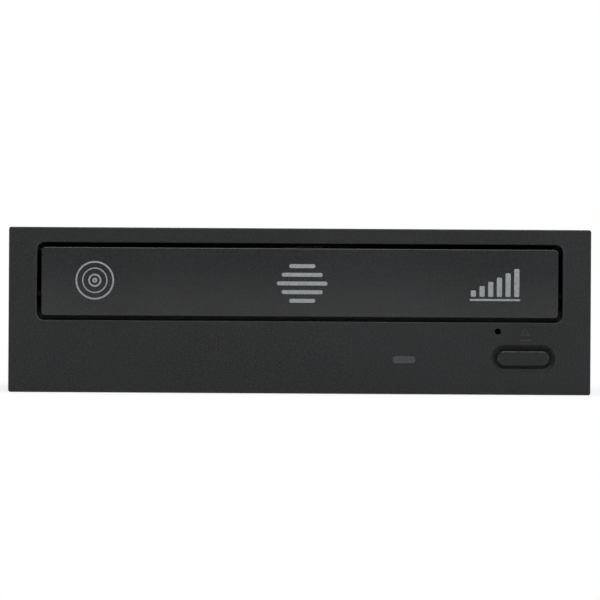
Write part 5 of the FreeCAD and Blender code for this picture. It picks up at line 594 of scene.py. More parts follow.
@dataclass(frozen=True)
class RubbedMoulding(Moulding):
    """Moulded plastic of a box-like piece, whose edges are scuffed a little shiny and pale; on the button the pale
    upper edge is a painted highlight.
    """

    low: Point = (0.0, 0.0, 0.0)
    high: Point = (0.0, 0.0, 0.0)
    # The width, share and tint of the pale edge: scuffing on the panel and door, a painted highlight on the button.
    wear: float = 0.0006
    rub: float = 0.35
    rub_light: tuple[float, float] = (1.9, 0.01)
    shine: float = 0.12
    breaks: float = 700.0

    def build(self) -> bpy.types.Material:
        """Adds the pale edges to the moulded surface: scuffing on most pieces, a painted highlight along the button's
        top edge.
        """
        skin = Skin(super().build())
        centre = tuple((a + b) / 2 for a, b in zip(self.low, self.high))
        half = tuple((b - a) / 2 for a, b in zip(self.low, self.high))
        wear_and_highlight_mask = skin.effect(Effects.edge_wear_and_highlight(), Centre=centre, Half=half, Width=self.wear, Breaks=self.breaks)["Mask"]
        rough = skin.under("Roughness")
        # Paints the pale edge: scuffing on the panel and door, a painted highlight along the button's top edge.
        skin.paint(skin.times(wear_and_highlight_mask, self.rub), skin.under("Base Color"), self.tinted(*self.rub_light))
        skin.put(skin.shader, Roughness=skin.minus(rough, skin.times(wear_and_highlight_mask, self.shine)))
        return skin.material


@dataclass(frozen=True)
class Rim:
    """The outline of an opening in the panel, with the painted highlight on its rim and the painted shade in its
    step.
    """

    centre: Point
    half: Point
    radius: float
    width: float
    pale: float
    dark: float


@dataclass(frozen=True)
class PiercedMoulding(RubbedMoulding):
    """A moulded panel whose openings have a painted highlight on their rim and painted shade in their step."""

    rims: tuple[Rim, ...] = ()
    # The tint of the painted rim highlight, and the share of colour left in the painted step shade.
    rim_light: tuple[float, float] = (2.0, 0.01)
    step_light: float = 0.1

    def build(self) -> bpy.types.Material:
        """Adds the painted rim highlights and the painted step shade on top of the pale edges.

        Returns:
            The material.
        """
        skin = Skin(super().build())
        pale, dark = self.tinted(*self.rim_light), self.tinted(self.step_light)
        for rim in self.rims:
            marks = skin.effect(
                Effects.opening_rim(), Centre=rim.centre, Half=rim.half, Radius=rim.radius, Width=rim.width
            )
            # Painted highlight on the rim at the ends and corners of each opening, and painted shade in its step.
            sides = skin.times(marks["Rim"], marks["Side"])
            rim_highlighted = skin.blend(skin.times(sides, rim.pale), skin.under("Base Color"), pale)
            skin.paint(skin.times(marks["Step"], rim.dark), rim_highlighted, dark)
        return skin.material


@dataclass(frozen=True)
class SheetMetal(Finish):
    """Rolled and zinc-coated sheet: drawn lines, faint flowers, finger smudges and a little dust."""

    lines: float = 3000.0
    depth: float = 0.000006
    strength: float = 0.25
    flowers: float = 0.05
    flower_dulls: float = 0.06
    smudges: float = 0.10
    smoother: float = 0.05
    dust: float = 0.10
    dust_scale: float = 160.0
    dust_dulls: float = 0.5

    def build(self) -> bpy.types.Material:
        """Wires the rolled surface.

        Returns:
            The material.
        """
        skin = self.start(Metallic=1.0)
        rolled = skin.effect(Effects.rolled_grain(), Scale=self.lines)
        dust = skin.effect(Effects.settled_dust(), Scale=self.dust_scale, Amount=self.dust)["Mask"]
        body = skin.blend(rolled["Flower"], self.tinted(1 - self.flowers), self.tinted(1 + self.flowers))
        skin.paint(dust, body, DUST_ON_STEEL)
        flowers = skin.times(rolled["Flower"], self.flower_dulls)
        marks = skin.plus(flowers, skin.times(rolled["Smudge"], self.smudges))
        rough = skin.plus(marks, self.roughness - self.smoother)
        skin.put(skin.shader, Roughness=skin.plus(rough, skin.times(dust, self.dust_dulls)))
        skin.bump(rolled["Height"], self.strength, self.depth)
        return skin.material


@dataclass(frozen=True)
class TurnedMetal(Finish):
    """Bright metal that was turned about one axis, with its fine rings and a dulled patchy film."""

    centre: Point = (0.0, 0.0, 0.0)
    axis: Turned = Turned.UP
    rings: float = 9000.0
    depth: float = 0.000006
    strength: float = 0.3
    film: float = 0.18
    film_scale: float = 500.0
    film_light: float = 0.72

    def build(self) -> bpy.types.Material:
        """Wires the rings and the film.

        Returns:
            The material.
        """
        skin = self.start(Metallic=1.0)
        turn = skin.add("ShaderNodeMapping", vector_type="TEXTURE")
        skin.put(turn, Vector=skin.place, Location=self.centre, Rotation=self.axis.value)
        rings = skin.effect(Effects.lathe_rings(), Vector=turn.outputs[0], Scale=self.rings)
        patches = skin.ramp(skin.noise(skin.place, self.film_scale, 4.0, 0.6), *PATCH_SPAN)
        skin.paint(skin.times(patches, self.film * 2), self.colour, self.tinted(self.film_light))
        skin.vary(patches, self.roughness, self.roughness + self.film, MASK_SPAN)
        skin.bump(rings["Height"], self.strength, self.depth)
        return skin.material


@dataclass(frozen=True)
class Elastic(Finish):
    """Rubber or silicone: a matt skin with a faint bloom and a soft uneven surface."""

    bloom: float = 0.25
    bloom_scale: float = 260.0
    bloom_light: tuple[float, float] = (1.5, 0.02)
    bloom_span: tuple[float, float] = (0.4, 0.8)
    sheen: float = 0.15
    specular: float = 0.3
    grain: float = 2200.0
    depth: float = 0.00002
    strength: float = 0.4
    change: float = 0.08

    def build(self) -> bpy.types.Material:
        """Wires the bloom.

        Returns:
            The material.
        """
        skin = self.start(Sheen_Weight=self.sheen, Specular_IOR_Level=self.specular)
        uneven = skin.noise(skin.place, self.grain, 5.0, 0.7)
        bloom = skin.ramp(skin.noise(skin.place, self.bloom_scale, 4.0, 0.6), *self.bloom_span)
        skin.paint(skin.times(bloom, self.bloom), self.colour, self.tinted(*self.bloom_light))
        skin.vary(uneven, self.roughness - self.change, self.roughness + self.change)
        skin.bump(uneven, self.strength, self.depth)
        return skin.material


@dataclass(frozen=True)
class Laminate(Finish):
    """Circuit board: a lacquered core with copper runs under the lacquer and bare gold rings at its vias."""

    copper: Colour = (0.03, 0.16, 0.08, 1.0)
    coat: float = 0.25
    runs: float = 420.0
    run_length: float = 2.6
    run_width: float = 0.28
    run_gap: float = 0.045
    run_edge: float = 0.1
    bare_scale: float = 70.0
    bare_span: tuple[float, float] = (0.48, 0.5)
    vias: float = 300.0
    via_scatter: float = 0.85
    via_outer: tuple[float, float] = (0.085, 0.095)
    via_inner: tuple[float, float] = (0.035, 0.045)
    weave_scale: float = 1800.0
    change: float = 0.05
    run_height: float = 0.7
    weave_height: float = 0.15
    depth: float = 0.00003
    strength: float = 0.35

    def build(self) -> bpy.types.Material:
        """Wires the copper runs, the vias and the lacquer.

        Returns:
            The material.
        """
        skin = self.start(Coat_Weight=self.coat)
        blocks = skin.add("ShaderNodeTexBrick", offset=0.37, squash=1.7, squash_frequency=3, offset_frequency=2)
        skin.put(blocks, Vector=skin.place, Scale=self.runs, Mortar_Size=self.run_gap, Mortar_Smooth=self.run_edge)
        skin.put(blocks, Brick_Width=self.run_length, Row_Height=self.run_width)
        areas = skin.ramp(skin.noise(skin.place, self.bare_scale, 1.0, 0.4), *self.bare_span)
        traced = skin.times(skin.minus(1.0, blocks.outputs["Fac"]), areas)
        holes = skin.put(skin.cells(skin.place, self.vias), Randomness=self.via_scatter).outputs["Distance"]
        ring = skin.times(skin.ramp(holes, *self.via_outer, 1.0, 0.0), skin.ramp(holes, *self.via_inner))
        skin.paint(ring, skin.blend(traced, self.colour, self.copper), VIA_GOLD)
        skin.put(skin.shader, Metallic=ring)
        weave = skin.noise(skin.place, self.weave_scale, 3.0, 0.6)
        skin.vary(weave, self.roughness - self.change, self.roughness + self.change)
        height = skin.plus(skin.times(traced, self.run_height), skin.times(weave, self.weave_height))
        skin.bump(height, self.strength, self.depth)
        return skin.material


@dataclass(frozen=True)
class Ribbon(Finish):
    """Flat film cable: a milky film with tinned conductors that run along it."""

    across: int = 0
    pitch: float = 0.001
    wire_span: tuple[float, float] = (0.24, 0.32)
    wire_shows: float = 0.75
    coat: float = 0.4
    film_scale: float = 900.0
    change: float = 0.06
    depth: float = 0.00004
    strength: float = 0.3

    def build(self) -> bpy.types.Material:
        """Wires the conductors.

        Returns:
            The material.
        """
        skin = self.start(Coat_Weight=self.coat)
        turns = skin.math("FRACT", skin.math("DIVIDE", skin.split(skin.place)[self.across], self.pitch))
        core = skin.ramp(skin.math("ABSOLUTE", skin.minus(turns, 0.5)), *self.wire_span, 1.0, 0.0)
        skin.paint(skin.times(core, self.wire_shows), self.colour, TINNED_WIRE)
        film = skin.noise(skin.place, self.film_scale, 3.0, 0.6)
        skin.vary(film, self.roughness - self.change, self.roughness + self.change)
        skin.bump(core, self.strength, self.depth)
        return skin.material


@dataclass(frozen=True)
class Winding(Finish):
    """Enamelled wire laid turn by turn, with the shadow between its turns."""

    pitch: float = 0.0003
    metal: float = 0.85
    coat: float = 0.5
    gap_light: float = 0.35
    smoother: float = 0.08
    rougher: float = 0.1
    depth: float = 0.00008
    strength: float = 0.6

    def build(self) -> bpy.types.Material:
        """Wires the turns.

        Returns:
            The material.
        """
        skin = self.start(Metallic=self.metal, Coat_Weight=self.coat)
        turns = skin.math("SINE", skin.times(skin.split(skin.place)[2], 2 * math.pi / self.pitch))
        skin.paint(skin.ramp(turns, -1.0, 0.0), self.tinted(self.gap_light), self.colour)
        stray = skin.noise(skin.place, 1500.0, 3.0, 0.6)
        skin.vary(stray, self.roughness - self.smoother, self.roughness + self.rougher)
        skin.bump(turns, self.strength, self.depth)
        return skin.material


@dataclass(frozen=True)
class Clear(Finish):
    """A clear optical part with a thin bluish coating that is a little uneven."""

    bend: float = 1.52
    passes: float = 0.9
    coat: float = 0.6
    film_scale: float = 800.0
    film_light: float = 0.8
    rougher: float = 0.04

    def build(self) -> bpy.types.Material:
        """Wires the film.

        Returns:
            The material.
        """
        skin = self.start(
            IOR=self.bend, Transmission_Weight=self.passes, Coat_Weight=self.coat, Coat_Tint=LENS_BLOOM
        )
        film = skin.noise(skin.place, self.film_scale, 2.0, 0.5)
        skin.paint(film, self.colour, self.tinted(self.film_light))
        skin.vary(film, self.roughness, self.roughness + self.rougher)
        return skin.material


@dataclass(frozen=True)
class Ink(Finish):
    """Pad-printed ink: thin, matt and a little mottled."""

    mottle: float = 0.16
    mottle_scale: float = 2400.0
    mottle_span: tuple[float, float] = (0.3, 0.65)
    specular: float = 0.3
    change: float = 0.05
    depth: float = 0.00001
    strength: float = 0.2

    def build(self) -> bpy.types.Material:
        """Wires the mottle.

        Returns:
            The material.
        """
        skin = self.start(Specular_IOR_Level=self.specular)
        patches = skin.noise(skin.place, self.mottle_scale, 4.0, 0.7)
        skin.paint(skin.ramp(patches, *self.mottle_span), self.tinted(1 - self.mottle * 2), self.colour)
        skin.vary(patches, self.roughness - self.change, self.roughness + self.change)
        skin.bump(patches, self.strength, self.depth)
        return skin.material


def add_object(name: str, data: bpy.types.ID) -> bpy.types.Object:
    """Makes an object and puts it in the scene.

    Args:
        name: Its name.
        data: Its mesh, camera or light.

    Returns:
        The object.
    """
    made = bpy.data.objects.new(name, data)
    bpy.context.scene.collection.objects.link(made)
    return made


@dataclass
class Shaper:
    """A mesh in the making: flat shapes from mesh operators, and its finished object."""

    name: str
    mesh: bmesh.types.BMesh = field(default_factory=bmesh.new)

    def take(self, other: bmesh.types.BMesh) -> None:
        """Moves a shape into this mesh and frees it.

        Args:
            other: The shape.
        """
        carrier = bpy.data.meshes.new("carrier")
        other.to_mesh(carrier)
        other.free()
        self.mesh.from_mesh(carrier)
        bpy.data.meshes.remove(carrier)

    def plate(self, centre: Point, size: tuple[float, float], radius: float, thick: float) -> None:
        """Adds a flat plate with round corners that looks along Y.

        Args:
            centre: The middle of its front, in metres.
            size: Its width and height.
            radius: The radius of its corners.
            thick: How far it goes back from its front.
        """
        part = bmesh.new()
        bmesh.ops.create_grid(part, x_segments=1, y_segments=1, size=0.5)
        bmesh.ops.scale(part, vec=(size[0], size[1], 1.0), verts=part.verts)
        bmesh.ops.bevel(
            part, geom=part.verts, affect="VERTICES", offset=radius, segments=CORNER_STEPS, profile=0.5, material=-1
        )
        self.stand(part, centre, thick)

    def ring(self, centre: Point, outer: float, inner: float, thick: float, steps: int = RING_STEPS) -> None:
        """Adds a flat ring that looks along Y.

        Args:
            centre: The middle of its front, in metres.
            outer: Its outer radius.
            inner: Its inner radius.
            thick: How far it goes back from its front.
            steps: The segments of its round.
        """
        part = bmesh.new()
        for radius in (outer, inner):
            bmesh.ops.create_circle(part, cap_ends=False, radius=radius, segments=steps)
        bmesh.ops.bridge_loops(part, edges=part.edges)
        self.stand(part, centre, thick)

    def stand(self, part: bmesh.types.BMesh, centre: Point, thick: float) -> None:
        """Gives a flat shape its thickness, stands it up to look along Y, and takes it in.

        Args:
            part: The flat shape in its own XY plane.
            centre: The middle of its front, in metres.
            thick: How far it goes back from its front.
        """
        made = bmesh.ops.extrude_face_region(part, geom=part.faces[:])
        raised = [item for item in made["geom"] if isinstance(item, bmesh.types.BMVert)]
        bmesh.ops.translate(part, vec=(0.0, 0.0, -thick), verts=raised)
        bmesh.ops.rotate(part, cent=(0.0, 0.0, 0.0), matrix=Matrix.Rotation(math.pi / 2, 3, "X"), verts=part.verts)
        bmesh.ops.translate(part, vec=centre, verts=part.verts)
        bmesh.ops.recalc_face_normals(part, faces=part.faces)
        self.take(part)

    def slice_up(self, low: float, high: float, step: float) -> None:
        """Cuts the mesh at even heights, so that it can follow a curved face.

        Args:
            low: The lowest cut, in metres.
            high: Where the cuts stop.
            step: The distance between cuts.
        """
        height = low
        while height < high:
            geometry = self.mesh.verts[:] + self.mesh.edges[:] + self.mesh.faces[:]
            bmesh.ops.bisect_plane(self.mesh, geom=geometry, plane_co=(0.0, 0.0, height), plane_no=(0.0, 0.0, 1.0))
            height += step

    def press_on(self, carrier: bpy.types.Object, reference: float, ahead: float = 0.05) -> None:
        """Moves every vertex back or forth so that the mesh follows the face that carries it.

        Args:
            carrier: The object whose front face is followed.
            reference: The Y that stands for that face in the mesh as it was made.
            ahead: How far in front of that Y the face is looked for, in metres.
        """
        surface = BVHTree.FromObject(carrier, bpy.context.evaluated_depsgraph_get())
        for vertex in self.mesh.verts:
            start = Vector((vertex.co.x, reference - ahead, vertex.co.z))
            hit = surface.ray_cast(start, Vector((0.0, 1.0, 0.0)))[0]
            if hit is not None:
                vertex.co.y += hit.y - reference

    def finish(self, look: Finish, body: str, smooth: bool = False) -> bpy.types.Object:
        """Makes the object, dresses it and hangs it on its body.

        Args:
            look: Its finish.
            body: The body that it rides on.
            smooth: Whether its faces are shaded smooth.

        Returns:
            The object.
        """
        data = bpy.data.meshes.new(self.name)
        bmesh.ops.remove_doubles(self.mesh, verts=self.mesh.verts, dist=SAME_PLACE)
        self.mesh.to_mesh(data)
        self.mesh.free()
        if smooth:
            data.shade_smooth()
        data.materials.append(look.material())
        piece = add_object(self.name, data)
        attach(piece, body)
        log.info("made %s with %d faces on %s", self.name, len(data.polygons), body)
        return piece


def middle_of(node: str) -> Point:
    """Returns the middle of a solid's box."""
    return tuple((a + b) / 2 for a, b in zip(*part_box(node)))


@dataclass(frozen=True)
class Lamp:
    """A soft rectangular lamp that looks at the writer: its place and size in metres, its power in watts."""

    name: str
    place: Point
    size: tuple[float, float]
    power: float
    target: Point = (0.0, 0.0, 0.02)

    def hang(self) -> None:
        """Hangs the lamp."""
        data = bpy.data.lights.new(self.name, "AREA")
        data.shape = "RECTANGLE"
        data.size, data.size_y = self.size
        data.energy = self.power
        lamp = add_object(self.name, data)
        lamp.location = self.place
        lamp.rotation_euler = (Vector(self.target) - Vector(self.place)).to_track_quat("-Z", "Y").to_euler()


@dataclass
class Studio:
    """The white table, the soft lamps and the camera in front of the panel."""

    distance: float = 2.0
    view_width: float = 0.15248
    sensor: float = 36.0
    nearest: float = 0.05
    eye_height: float = 0.0238
    eye_across: float = 0.00006
    tilt: float = 0.35
    table: float = 6.0
    table_drop: float = 0.00002
    table_white: Colour = (0.8, 0.8, 0.8, 1.0)
    table_rough: float = 0.9
    table_dim: float = 0.72
    shadow_start: float = 0.08
    shadow_reach: float = 0.34
    daylight: float = 0.72
    front_dim: float = 0.12
    front_span: tuple[float, float] = (-0.4, 0.1)
    above_span: tuple[float, float] = (0.05, 0.85)
    ceiling: float = 0.7
    lamps: tuple[Lamp, ...] = (
        Lamp("key_lamp", (0.0, -0.36, 0.42), (0.24, 0.18), 1.1),
        Lamp("fill_lamp", (1.2, -0.8, 0.7), (0.8, 0.8), 5.5),
        Lamp("back_lamp", (0.1, 1.2, 1.1), (1.0, 0.6), 9.0),
    )

    def place_camera(self) -> None:
        """Puts the long-lens camera straight in front of the panel."""
        lens = bpy.data.cameras.new("camera")
        lens.sensor_width = self.sensor
        lens.lens = self.sensor * self.distance / self.view_width
        lens.clip_start = self.nearest
        camera = add_object("camera", lens)
        camera.location = (self.eye_across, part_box("front_panel")[0][1] - self.distance, self.eye_height)
        camera.rotation_euler = (math.pi / 2, -math.radians(self.tilt), 0.0)
        bpy.context.scene.camera = camera

    def light_world(self) -> None:
        """Makes the world white to look at and soft to light with, and dimmer where gloss mirrors its front."""
        world = bpy.data.worlds.new("studio")
        bpy.context.scene.world = world
        world.use_nodes = True
        w = Wiring(world.node_tree)
        way = w.split(w.add("ShaderNodeTexCoord").outputs["Generated"])
        rays = w.add("ShaderNodeLightPath").outputs
        front = w.ramp(way[1], *self.front_span, self.front_dim, self.ceiling)
        above = w.ramp(way[2], *self.above_span, 0.0, self.ceiling)
        direct = w.math("MINIMUM", w.plus(rays["Is Camera Ray"], rays["Is Transmission Ray"]), 1.0)
        soft = w.ramp(rays["Is Glossy Ray"], 0.0, 1.0, self.daylight, w.math("MAXIMUM", front, above))
        w.put(world.node_tree.nodes["Background"], Color=WHITE, Strength=w.ramp(direct, 0.0, 1.0, soft, 1.0))

    def table_material(self) -> bpy.types.Material:
        """Makes the white of the table, which shows itself white and keeps the shadow of the writer.

        Returns:
            The material.
        """
        material = bpy.data.materials.new("table_white")
        material.use_nodes = True
        skin = Skin(material)
        skin.put(skin.shader, Base_Color=self.table_white, Roughness=self.table_rough, Specular_IOR_Level=0.0)
        rays = skin.add("ShaderNodeLightPath").outputs
        mirrored = skin.plus(rays["Is Glossy Ray"], rays["Is Transmission Ray"])
        direct = skin.math("MINIMUM", skin.plus(rays["Is Camera Ray"], mirrored), 1.0)
        far = skin.add("ShaderNodeVectorMath", operation="LENGTH")
        skin.join(skin.place, far.inputs[0])
        glow = skin.ramp(far.outputs["Value"], self.shadow_start, self.shadow_reach, self.table_dim, 1.0)
        mix = skin.add("ShaderNodeMixShader")
        skin.join(skin.times(direct, glow), mix.inputs[0])
        skin.join(skin.shader.outputs[0], mix.inputs[1])
        skin.join(skin.add("ShaderNodeEmission").outputs[0], mix.inputs[2])
        skin.put(material.node_tree.nodes["Material Output"], Surface=mix.outputs[0])
        return material

    def lay_table(self) -> None:
        """Lays the white table that the writer stands on."""
        part = bmesh.new()
        bmesh.ops.create_grid(part, x_segments=1, y_segments=1, size=self.table / 2)
        bmesh.ops.translate(part, vec=(0.0, 0.0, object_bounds()[0][2] - self.table_drop), verts=part.verts)
        data = bpy.data.meshes.new("table")
        part.to_mesh(data)
        part.free()
        data.materials.append(self.table_material())
        table = add_object("table", data)
        table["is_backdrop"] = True

    def build(self) -> None:
        """Sets the whole studio."""
        bpy.context.scene.view_settings.view_transform = "Standard"
        self.place_camera()
        self.light_world()
        self.lay_table()
        for lamp in self.lamps:
            lamp.hang()
        log.info("set the studio")


@dataclass
class Assembly:
    """A sub-assembly: the finish of each of its solids, and the pieces of its own that are added."""

    def finishes(self) -> dict[str, Finish]:
        """Returns the finish of each solid, by its name."""
        return {}

    def add_pieces(self, frame: dict) -> None:
        """Adds pieces to the solids; most sub-assemblies have none."""

    def build(self, frame: dict) -> None:
        """Dresses the solids, then adds the pieces.

        Args:
            frame: The loaded frame.
        """
        for name, look in self.finishes().items():
            mesh = frame["nodes"][name].data
            if not mesh.materials:
                mesh.materials.append(look.material())
            for slot in range(len(mesh.materials)):
                mesh.materials[slot] = look.material()
            log.info("dressed %s in %s", name, look.name)
        self.add_pieces(frame)


@dataclass
class FrontFace(Assembly):
    """The panel with its button, its lamp window and the raised symbol over the button."""

    black: Colour = shown(28, 29, 30)
    symbol_across: float = 0.0573
    symbol_up: float = 0.0157
    symbol_width: float = 0.0028
    symbol_height: float = 0.0020
    symbol_line: float = 0.00034
    symbol_raise: float = 0.00009
    bar_up: float = 0.0139
    bar_share: float = 1.5
    bar_round: float = 0.3
    # Where the panel's openings get their painted rim highlight and painted step shade; the door's step has none.
    door_rim: Rim = Rim((0.0, 0.0, 0.02825), (0.0668, 1.0, 0.00985), 0.0019, 0.00045, 0.6, 0.0)
    button_rim: Rim = Rim((0.0569, 0.0, 0.0093), (0.00817, 1.0, 0.00342), 0.00342, 0.0003, 0.3, 0.9)
    # button_below and button_flange set the box of the button's pale edge so that the painted highlight falls on its
    # upper edge alone.
    button_below: float = 0.002
    button_flange: float = 0.00122

    def finishes(self) -> dict[str, Finish]:
        """Chooses the finish of each solid of the front; the button takes a painted highlight along its upper edge
        alone.

        Returns:
            The finishes by the names of the solids.
        """
        low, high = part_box("front_panel")
        cap_low, cap_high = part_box("eject_button")
        flange = self.button_flange
        return {
            "front_panel": PiercedMoulding(
                "panel_black", self.black, 0.5, grain=2500.0, depth=0.00005, strength=0.7, specular=0.26, speck=0.5,
                dust=0.03, low=tuple(low), high=tuple(high), rims=(self.door_rim, self.button_rim),
            ),
            # The button's pale upper edge is a painted highlight, not scuffing.
            "eject_button": RubbedMoulding(
                "button_black", self.black, 0.42, grain=3400.0, depth=0.00001, strength=0.3, specular=0.26, speck=0.2,
                dust=0.02, low=(cap_low[0] + flange, cap_low[1], cap_low[2] - self.button_below),
                high=(cap_high[0] - flange, cap_high[1], cap_high[2] - flange), wear=0.00055, rub=4.0,
            ),
            "lamp_window": Moulding(
                "lamp_smoke", shown(60, 61, 63), 0.42, grain=1500.0, strength=0.15, specular=0.4, glow=0.4, dust=0.0
            ),
        }

    def add_pieces(self, frame: dict) -> None:
        """Raises the outlined triangle and its bar from the panel.

        Args:
            frame: The loaded frame.
        """
        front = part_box("front_panel")[0][1] - self.symbol_raise
        shape = Shaper("eject_symbol")
        part = bmesh.new()
        bmesh.ops.create_circle(part, cap_ends=True, radius=1.0, segments=3)
        tall = max(v.co.y for v in part.verts) - min(v.co.y for v in part.verts)
        wide = max(v.co.x for v in part.verts) - min(v.co.x for v in part.verts)
        bmesh.ops.scale(part, vec=(self.symbol_width / wide, self.symbol_height / tall, 1.0), verts=part.verts)
        bmesh.ops.inset_region(
            part, faces=part.faces[:], thickness=self.symbol_line, use_even_offset=True, use_boundary=True
        )
        inner = min(part.faces, key=lambda face: face.calc_center_median().length)
        bmesh.ops.delete(part, geom=[inner], context="FACES_ONLY")
        if max(v.co.y for v in part.verts) < -min(v.co.y for v in part.verts):
            bmesh.ops.rotate(part, cent=(0, 0, 0), matrix=Matrix.Rotation(math.pi, 3, "Z"), verts=part.verts)
        shape.stand(part, (self.symbol_across, front, self.symbol_up), self.symbol_raise * 2)
        size = (self.symbol_width, self.symbol_line * self.bar_share)
        corner = self.symbol_line * self.bar_round
        shape.plate((self.symbol_across, front, self.bar_up), size, corner, self.symbol_raise * 2)
        # symbol_black is lighter than the panel's black though it is the same plastic: a painted highlight on the
        # raised lines.
        look = Moulding("symbol_black", shown(38, 39, 40), 0.4, grain=2400.0, strength=0.2, dust=0.03)
        shape.finish(look, "case")


@dataclass
class Door(Assembly):
    """The crowned door of the tray, with three plain printed pictograms."""

    ink_thick: float = 0.00002
    disc_at: tuple[float, float] = (-0.0521, 0.0285)
    bars_at: tuple[float, float] = (0.0006, 0.0280)
    steps_at: tuple[float, float] = (0.0496, 0.0279)
    disc_radius: float = 0.0049
    line: float = 0.00042
    rings: tuple[tuple[float, float], ...] = ((1.0, 1.0), (0.66, 0.7), (0.34, 1.0))
    hub: tuple[float, float] = (0.13, 0.04)
    bar_widths: tuple[float, ...] = (0.0066, 0.0104, 0.0128, 0.0104, 0.0066)
    bar_height: float = 0.0010
    bar_corner: float = 0.00045
    pitch: float = 0.0022
    steps: int = 6
    steps_left: float = 0.0055
    steps_down: float = 0.0040
    step_foot: float = 0.0010
    step_width: float = 0.0013
    step_low: float = 0.0016
    step_rise: float = 0.0011
    step_corner: float = 0.00025
    base_raise: float = 0.0002
    base_size: tuple[float, float] = (0.0128, 0.0005)
    base_corner: float = 0.0002
    cuts: tuple[float, float, float] = (0.0225, 0.0345, 0.0006)

    def finishes(self) -> dict[str, Finish]:
        """Chooses the finish of the door.

        Returns:
            The finish by the name of the solid.
        """
        low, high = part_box("tray_door")
        return {
            "tray_door": RubbedMoulding(
                "door_black", shown(31, 32, 33), 0.3, grain=2600.0, depth=0.000022, strength=0.5, speck=0.3,
                dust=0.02, low=tuple(low), high=tuple(high), wear=0.0005,
            )
        }

    def print_disc(self, shape: Shaper, front: float) -> None:
        """Draws the disc pictogram: an outline, two track rings and a hub.

        Args:
            shape: The mesh that it is drawn in.
            front: The Y of the ink's front.
        """
        centre = (self.disc_at[0], front, self.disc_at[1])
        for share, wide in self.rings:
            radius = self.disc_radius * share
            shape.ring(centre, radius, radius - self.line * wide, self.ink_thick * 2)
        outer, inner = (self.disc_radius * share for share in self.hub)
        shape.ring(centre, outer, inner, self.ink_thick * 2, HUB_STEPS)

    def print_bars(self, shape: Shaper, front: float) -> None:
        """Draws the stack of bars, longer towards its middle.

        Args:
            shape: The mesh that it is drawn in.
            front: The Y of the ink's front.
        """
        across, up = self.bars_at
        for row, width in enumerate(self.bar_widths):
            centre = (across, front, up + (row - len(self.bar_widths) // 2) * self.pitch)
            shape.plate(centre, (width, self.bar_height), self.bar_corner, self.ink_thick * 2)

    def print_steps(self, shape: Shaper, front: float) -> None:
        """Draws the row of rising steps on its base line.

        Args:
            shape: The mesh that it is drawn in.
            front: The Y of the ink's front.
        """
        across, up = self.steps_at
        low = up - self.steps_down
        for column in range(self.steps):
            height = self.step_low + column * self.step_rise
            centre = (across - self.steps_left + column * self.pitch, front, low + self.step_foot + height / 2)
            shape.plate(centre, (self.step_width, height), self.step_corner, self.ink_thick * 2)
        shape.plate((across, front, low + self.base_raise), self.base_size, self.base_corner, self.ink_thick * 2)

    def add_pieces(self, frame: dict) -> None:
        """Prints the door.

        Args:
            frame: The loaded frame.
        """
        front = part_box("tray_door")[0][1]
        ink = Ink("print_grey", shown(138, 142, 144), 0.6)
        for name, draw in (
            ("disc_mark", self.print_disc), ("bars_mark", self.print_bars), ("steps_mark", self.print_steps)
        ):
            shape = Shaper(name)
            draw(shape, front - self.ink_thick)
            shape.slice_up(*self.cuts)
            shape.press_on(frame["nodes"]["tray_door"], front)
            shape.finish(ink, "tray")


@dataclass
class Casing(Assembly):
    """The two pressed covers, and the screws of the whole writer."""

    def finishes(self) -> dict[str, Finish]:
        """Chooses the finish of the covers and the screws.

        Returns:
            The finishes by the names of the solids.
        """
        screw = TurnedMetal("screw_zinc", shown(150, 150, 148), 0.34, film=0.25)
        return {
            "top_cover": SheetMetal("case_zinc", shown(158, 160, 161), 0.48, dust=0.06),
            "bottom_cover": SheetMetal("floor_zinc", shown(154, 156, 157), 0.45, dust=0.02),
            "case_screws": screw,
            "bridge_screws": screw,
            "motor_screws": screw,
            "board_screws": screw,
            "damper_screws": screw,
        }


@dataclass
class Loader(Assembly):
    """The chassis, the tray, the clamp and the wheels that drive them."""

    def finishes(self) -> dict[str, Finish]:
        """Chooses the finish of each solid of the loader.

        Returns:
            The finishes by the names of the solids.
        """
        chassis = Moulding("chassis_black", shown(44, 45, 46), 0.55, grain=1800.0, strength=0.3, dust=0.05)
        natural = Moulding(
            "gear_natural", shown(214, 210, 198), 0.38, grain=1600.0, strength=0.12, glow=0.15, dust=0.04
        )
        hub = Moulding("hub_natural", shown(202, 200, 192), 0.42, grain=1600.0, strength=0.12, glow=0.1, dust=0.06)
        return {
            "loader_chassis": chassis,
            "chassis_front": chassis,
            "disc_tray": Moulding(
                "tray_black", shown(40, 41, 42), 0.46, grain=2200.0, strength=0.3, shade=0.06, dust=0.03
            ),
            "clamp_bridge": SheetMetal("bridge_zinc", shown(168, 169, 168), 0.42),
            "clamper_hub": hub,
            "clamper_cap": hub,
            "clamper_magnet": TurnedMetal(
                "clamp_nickel", shown(150, 150, 152), 0.25, centre=middle_of("clamper_magnet")
            ),
            "drive_gear": Moulding("gear_black", shown(42, 43, 44), 0.36, grain=1600.0, strength=0.12),
            "middle_gear": natural,
            "pulley_gear": natural,
            "motor_pulley": TurnedMetal("wheel_brass", shown(196, 168, 108), 0.3, centre=middle_of("motor_pulley")),
            "loading_motor": TurnedMetal("motor_can", shown(158, 158, 156), 0.3, centre=middle_of("loading_motor")),
            "drive_belt": Elastic("belt_rubber", shown(30, 30, 31), 0.6),
            "cam_slider": Moulding("slider_black", shown(36, 37, 38), 0.4, grain=1600.0, strength=0.15),
        }


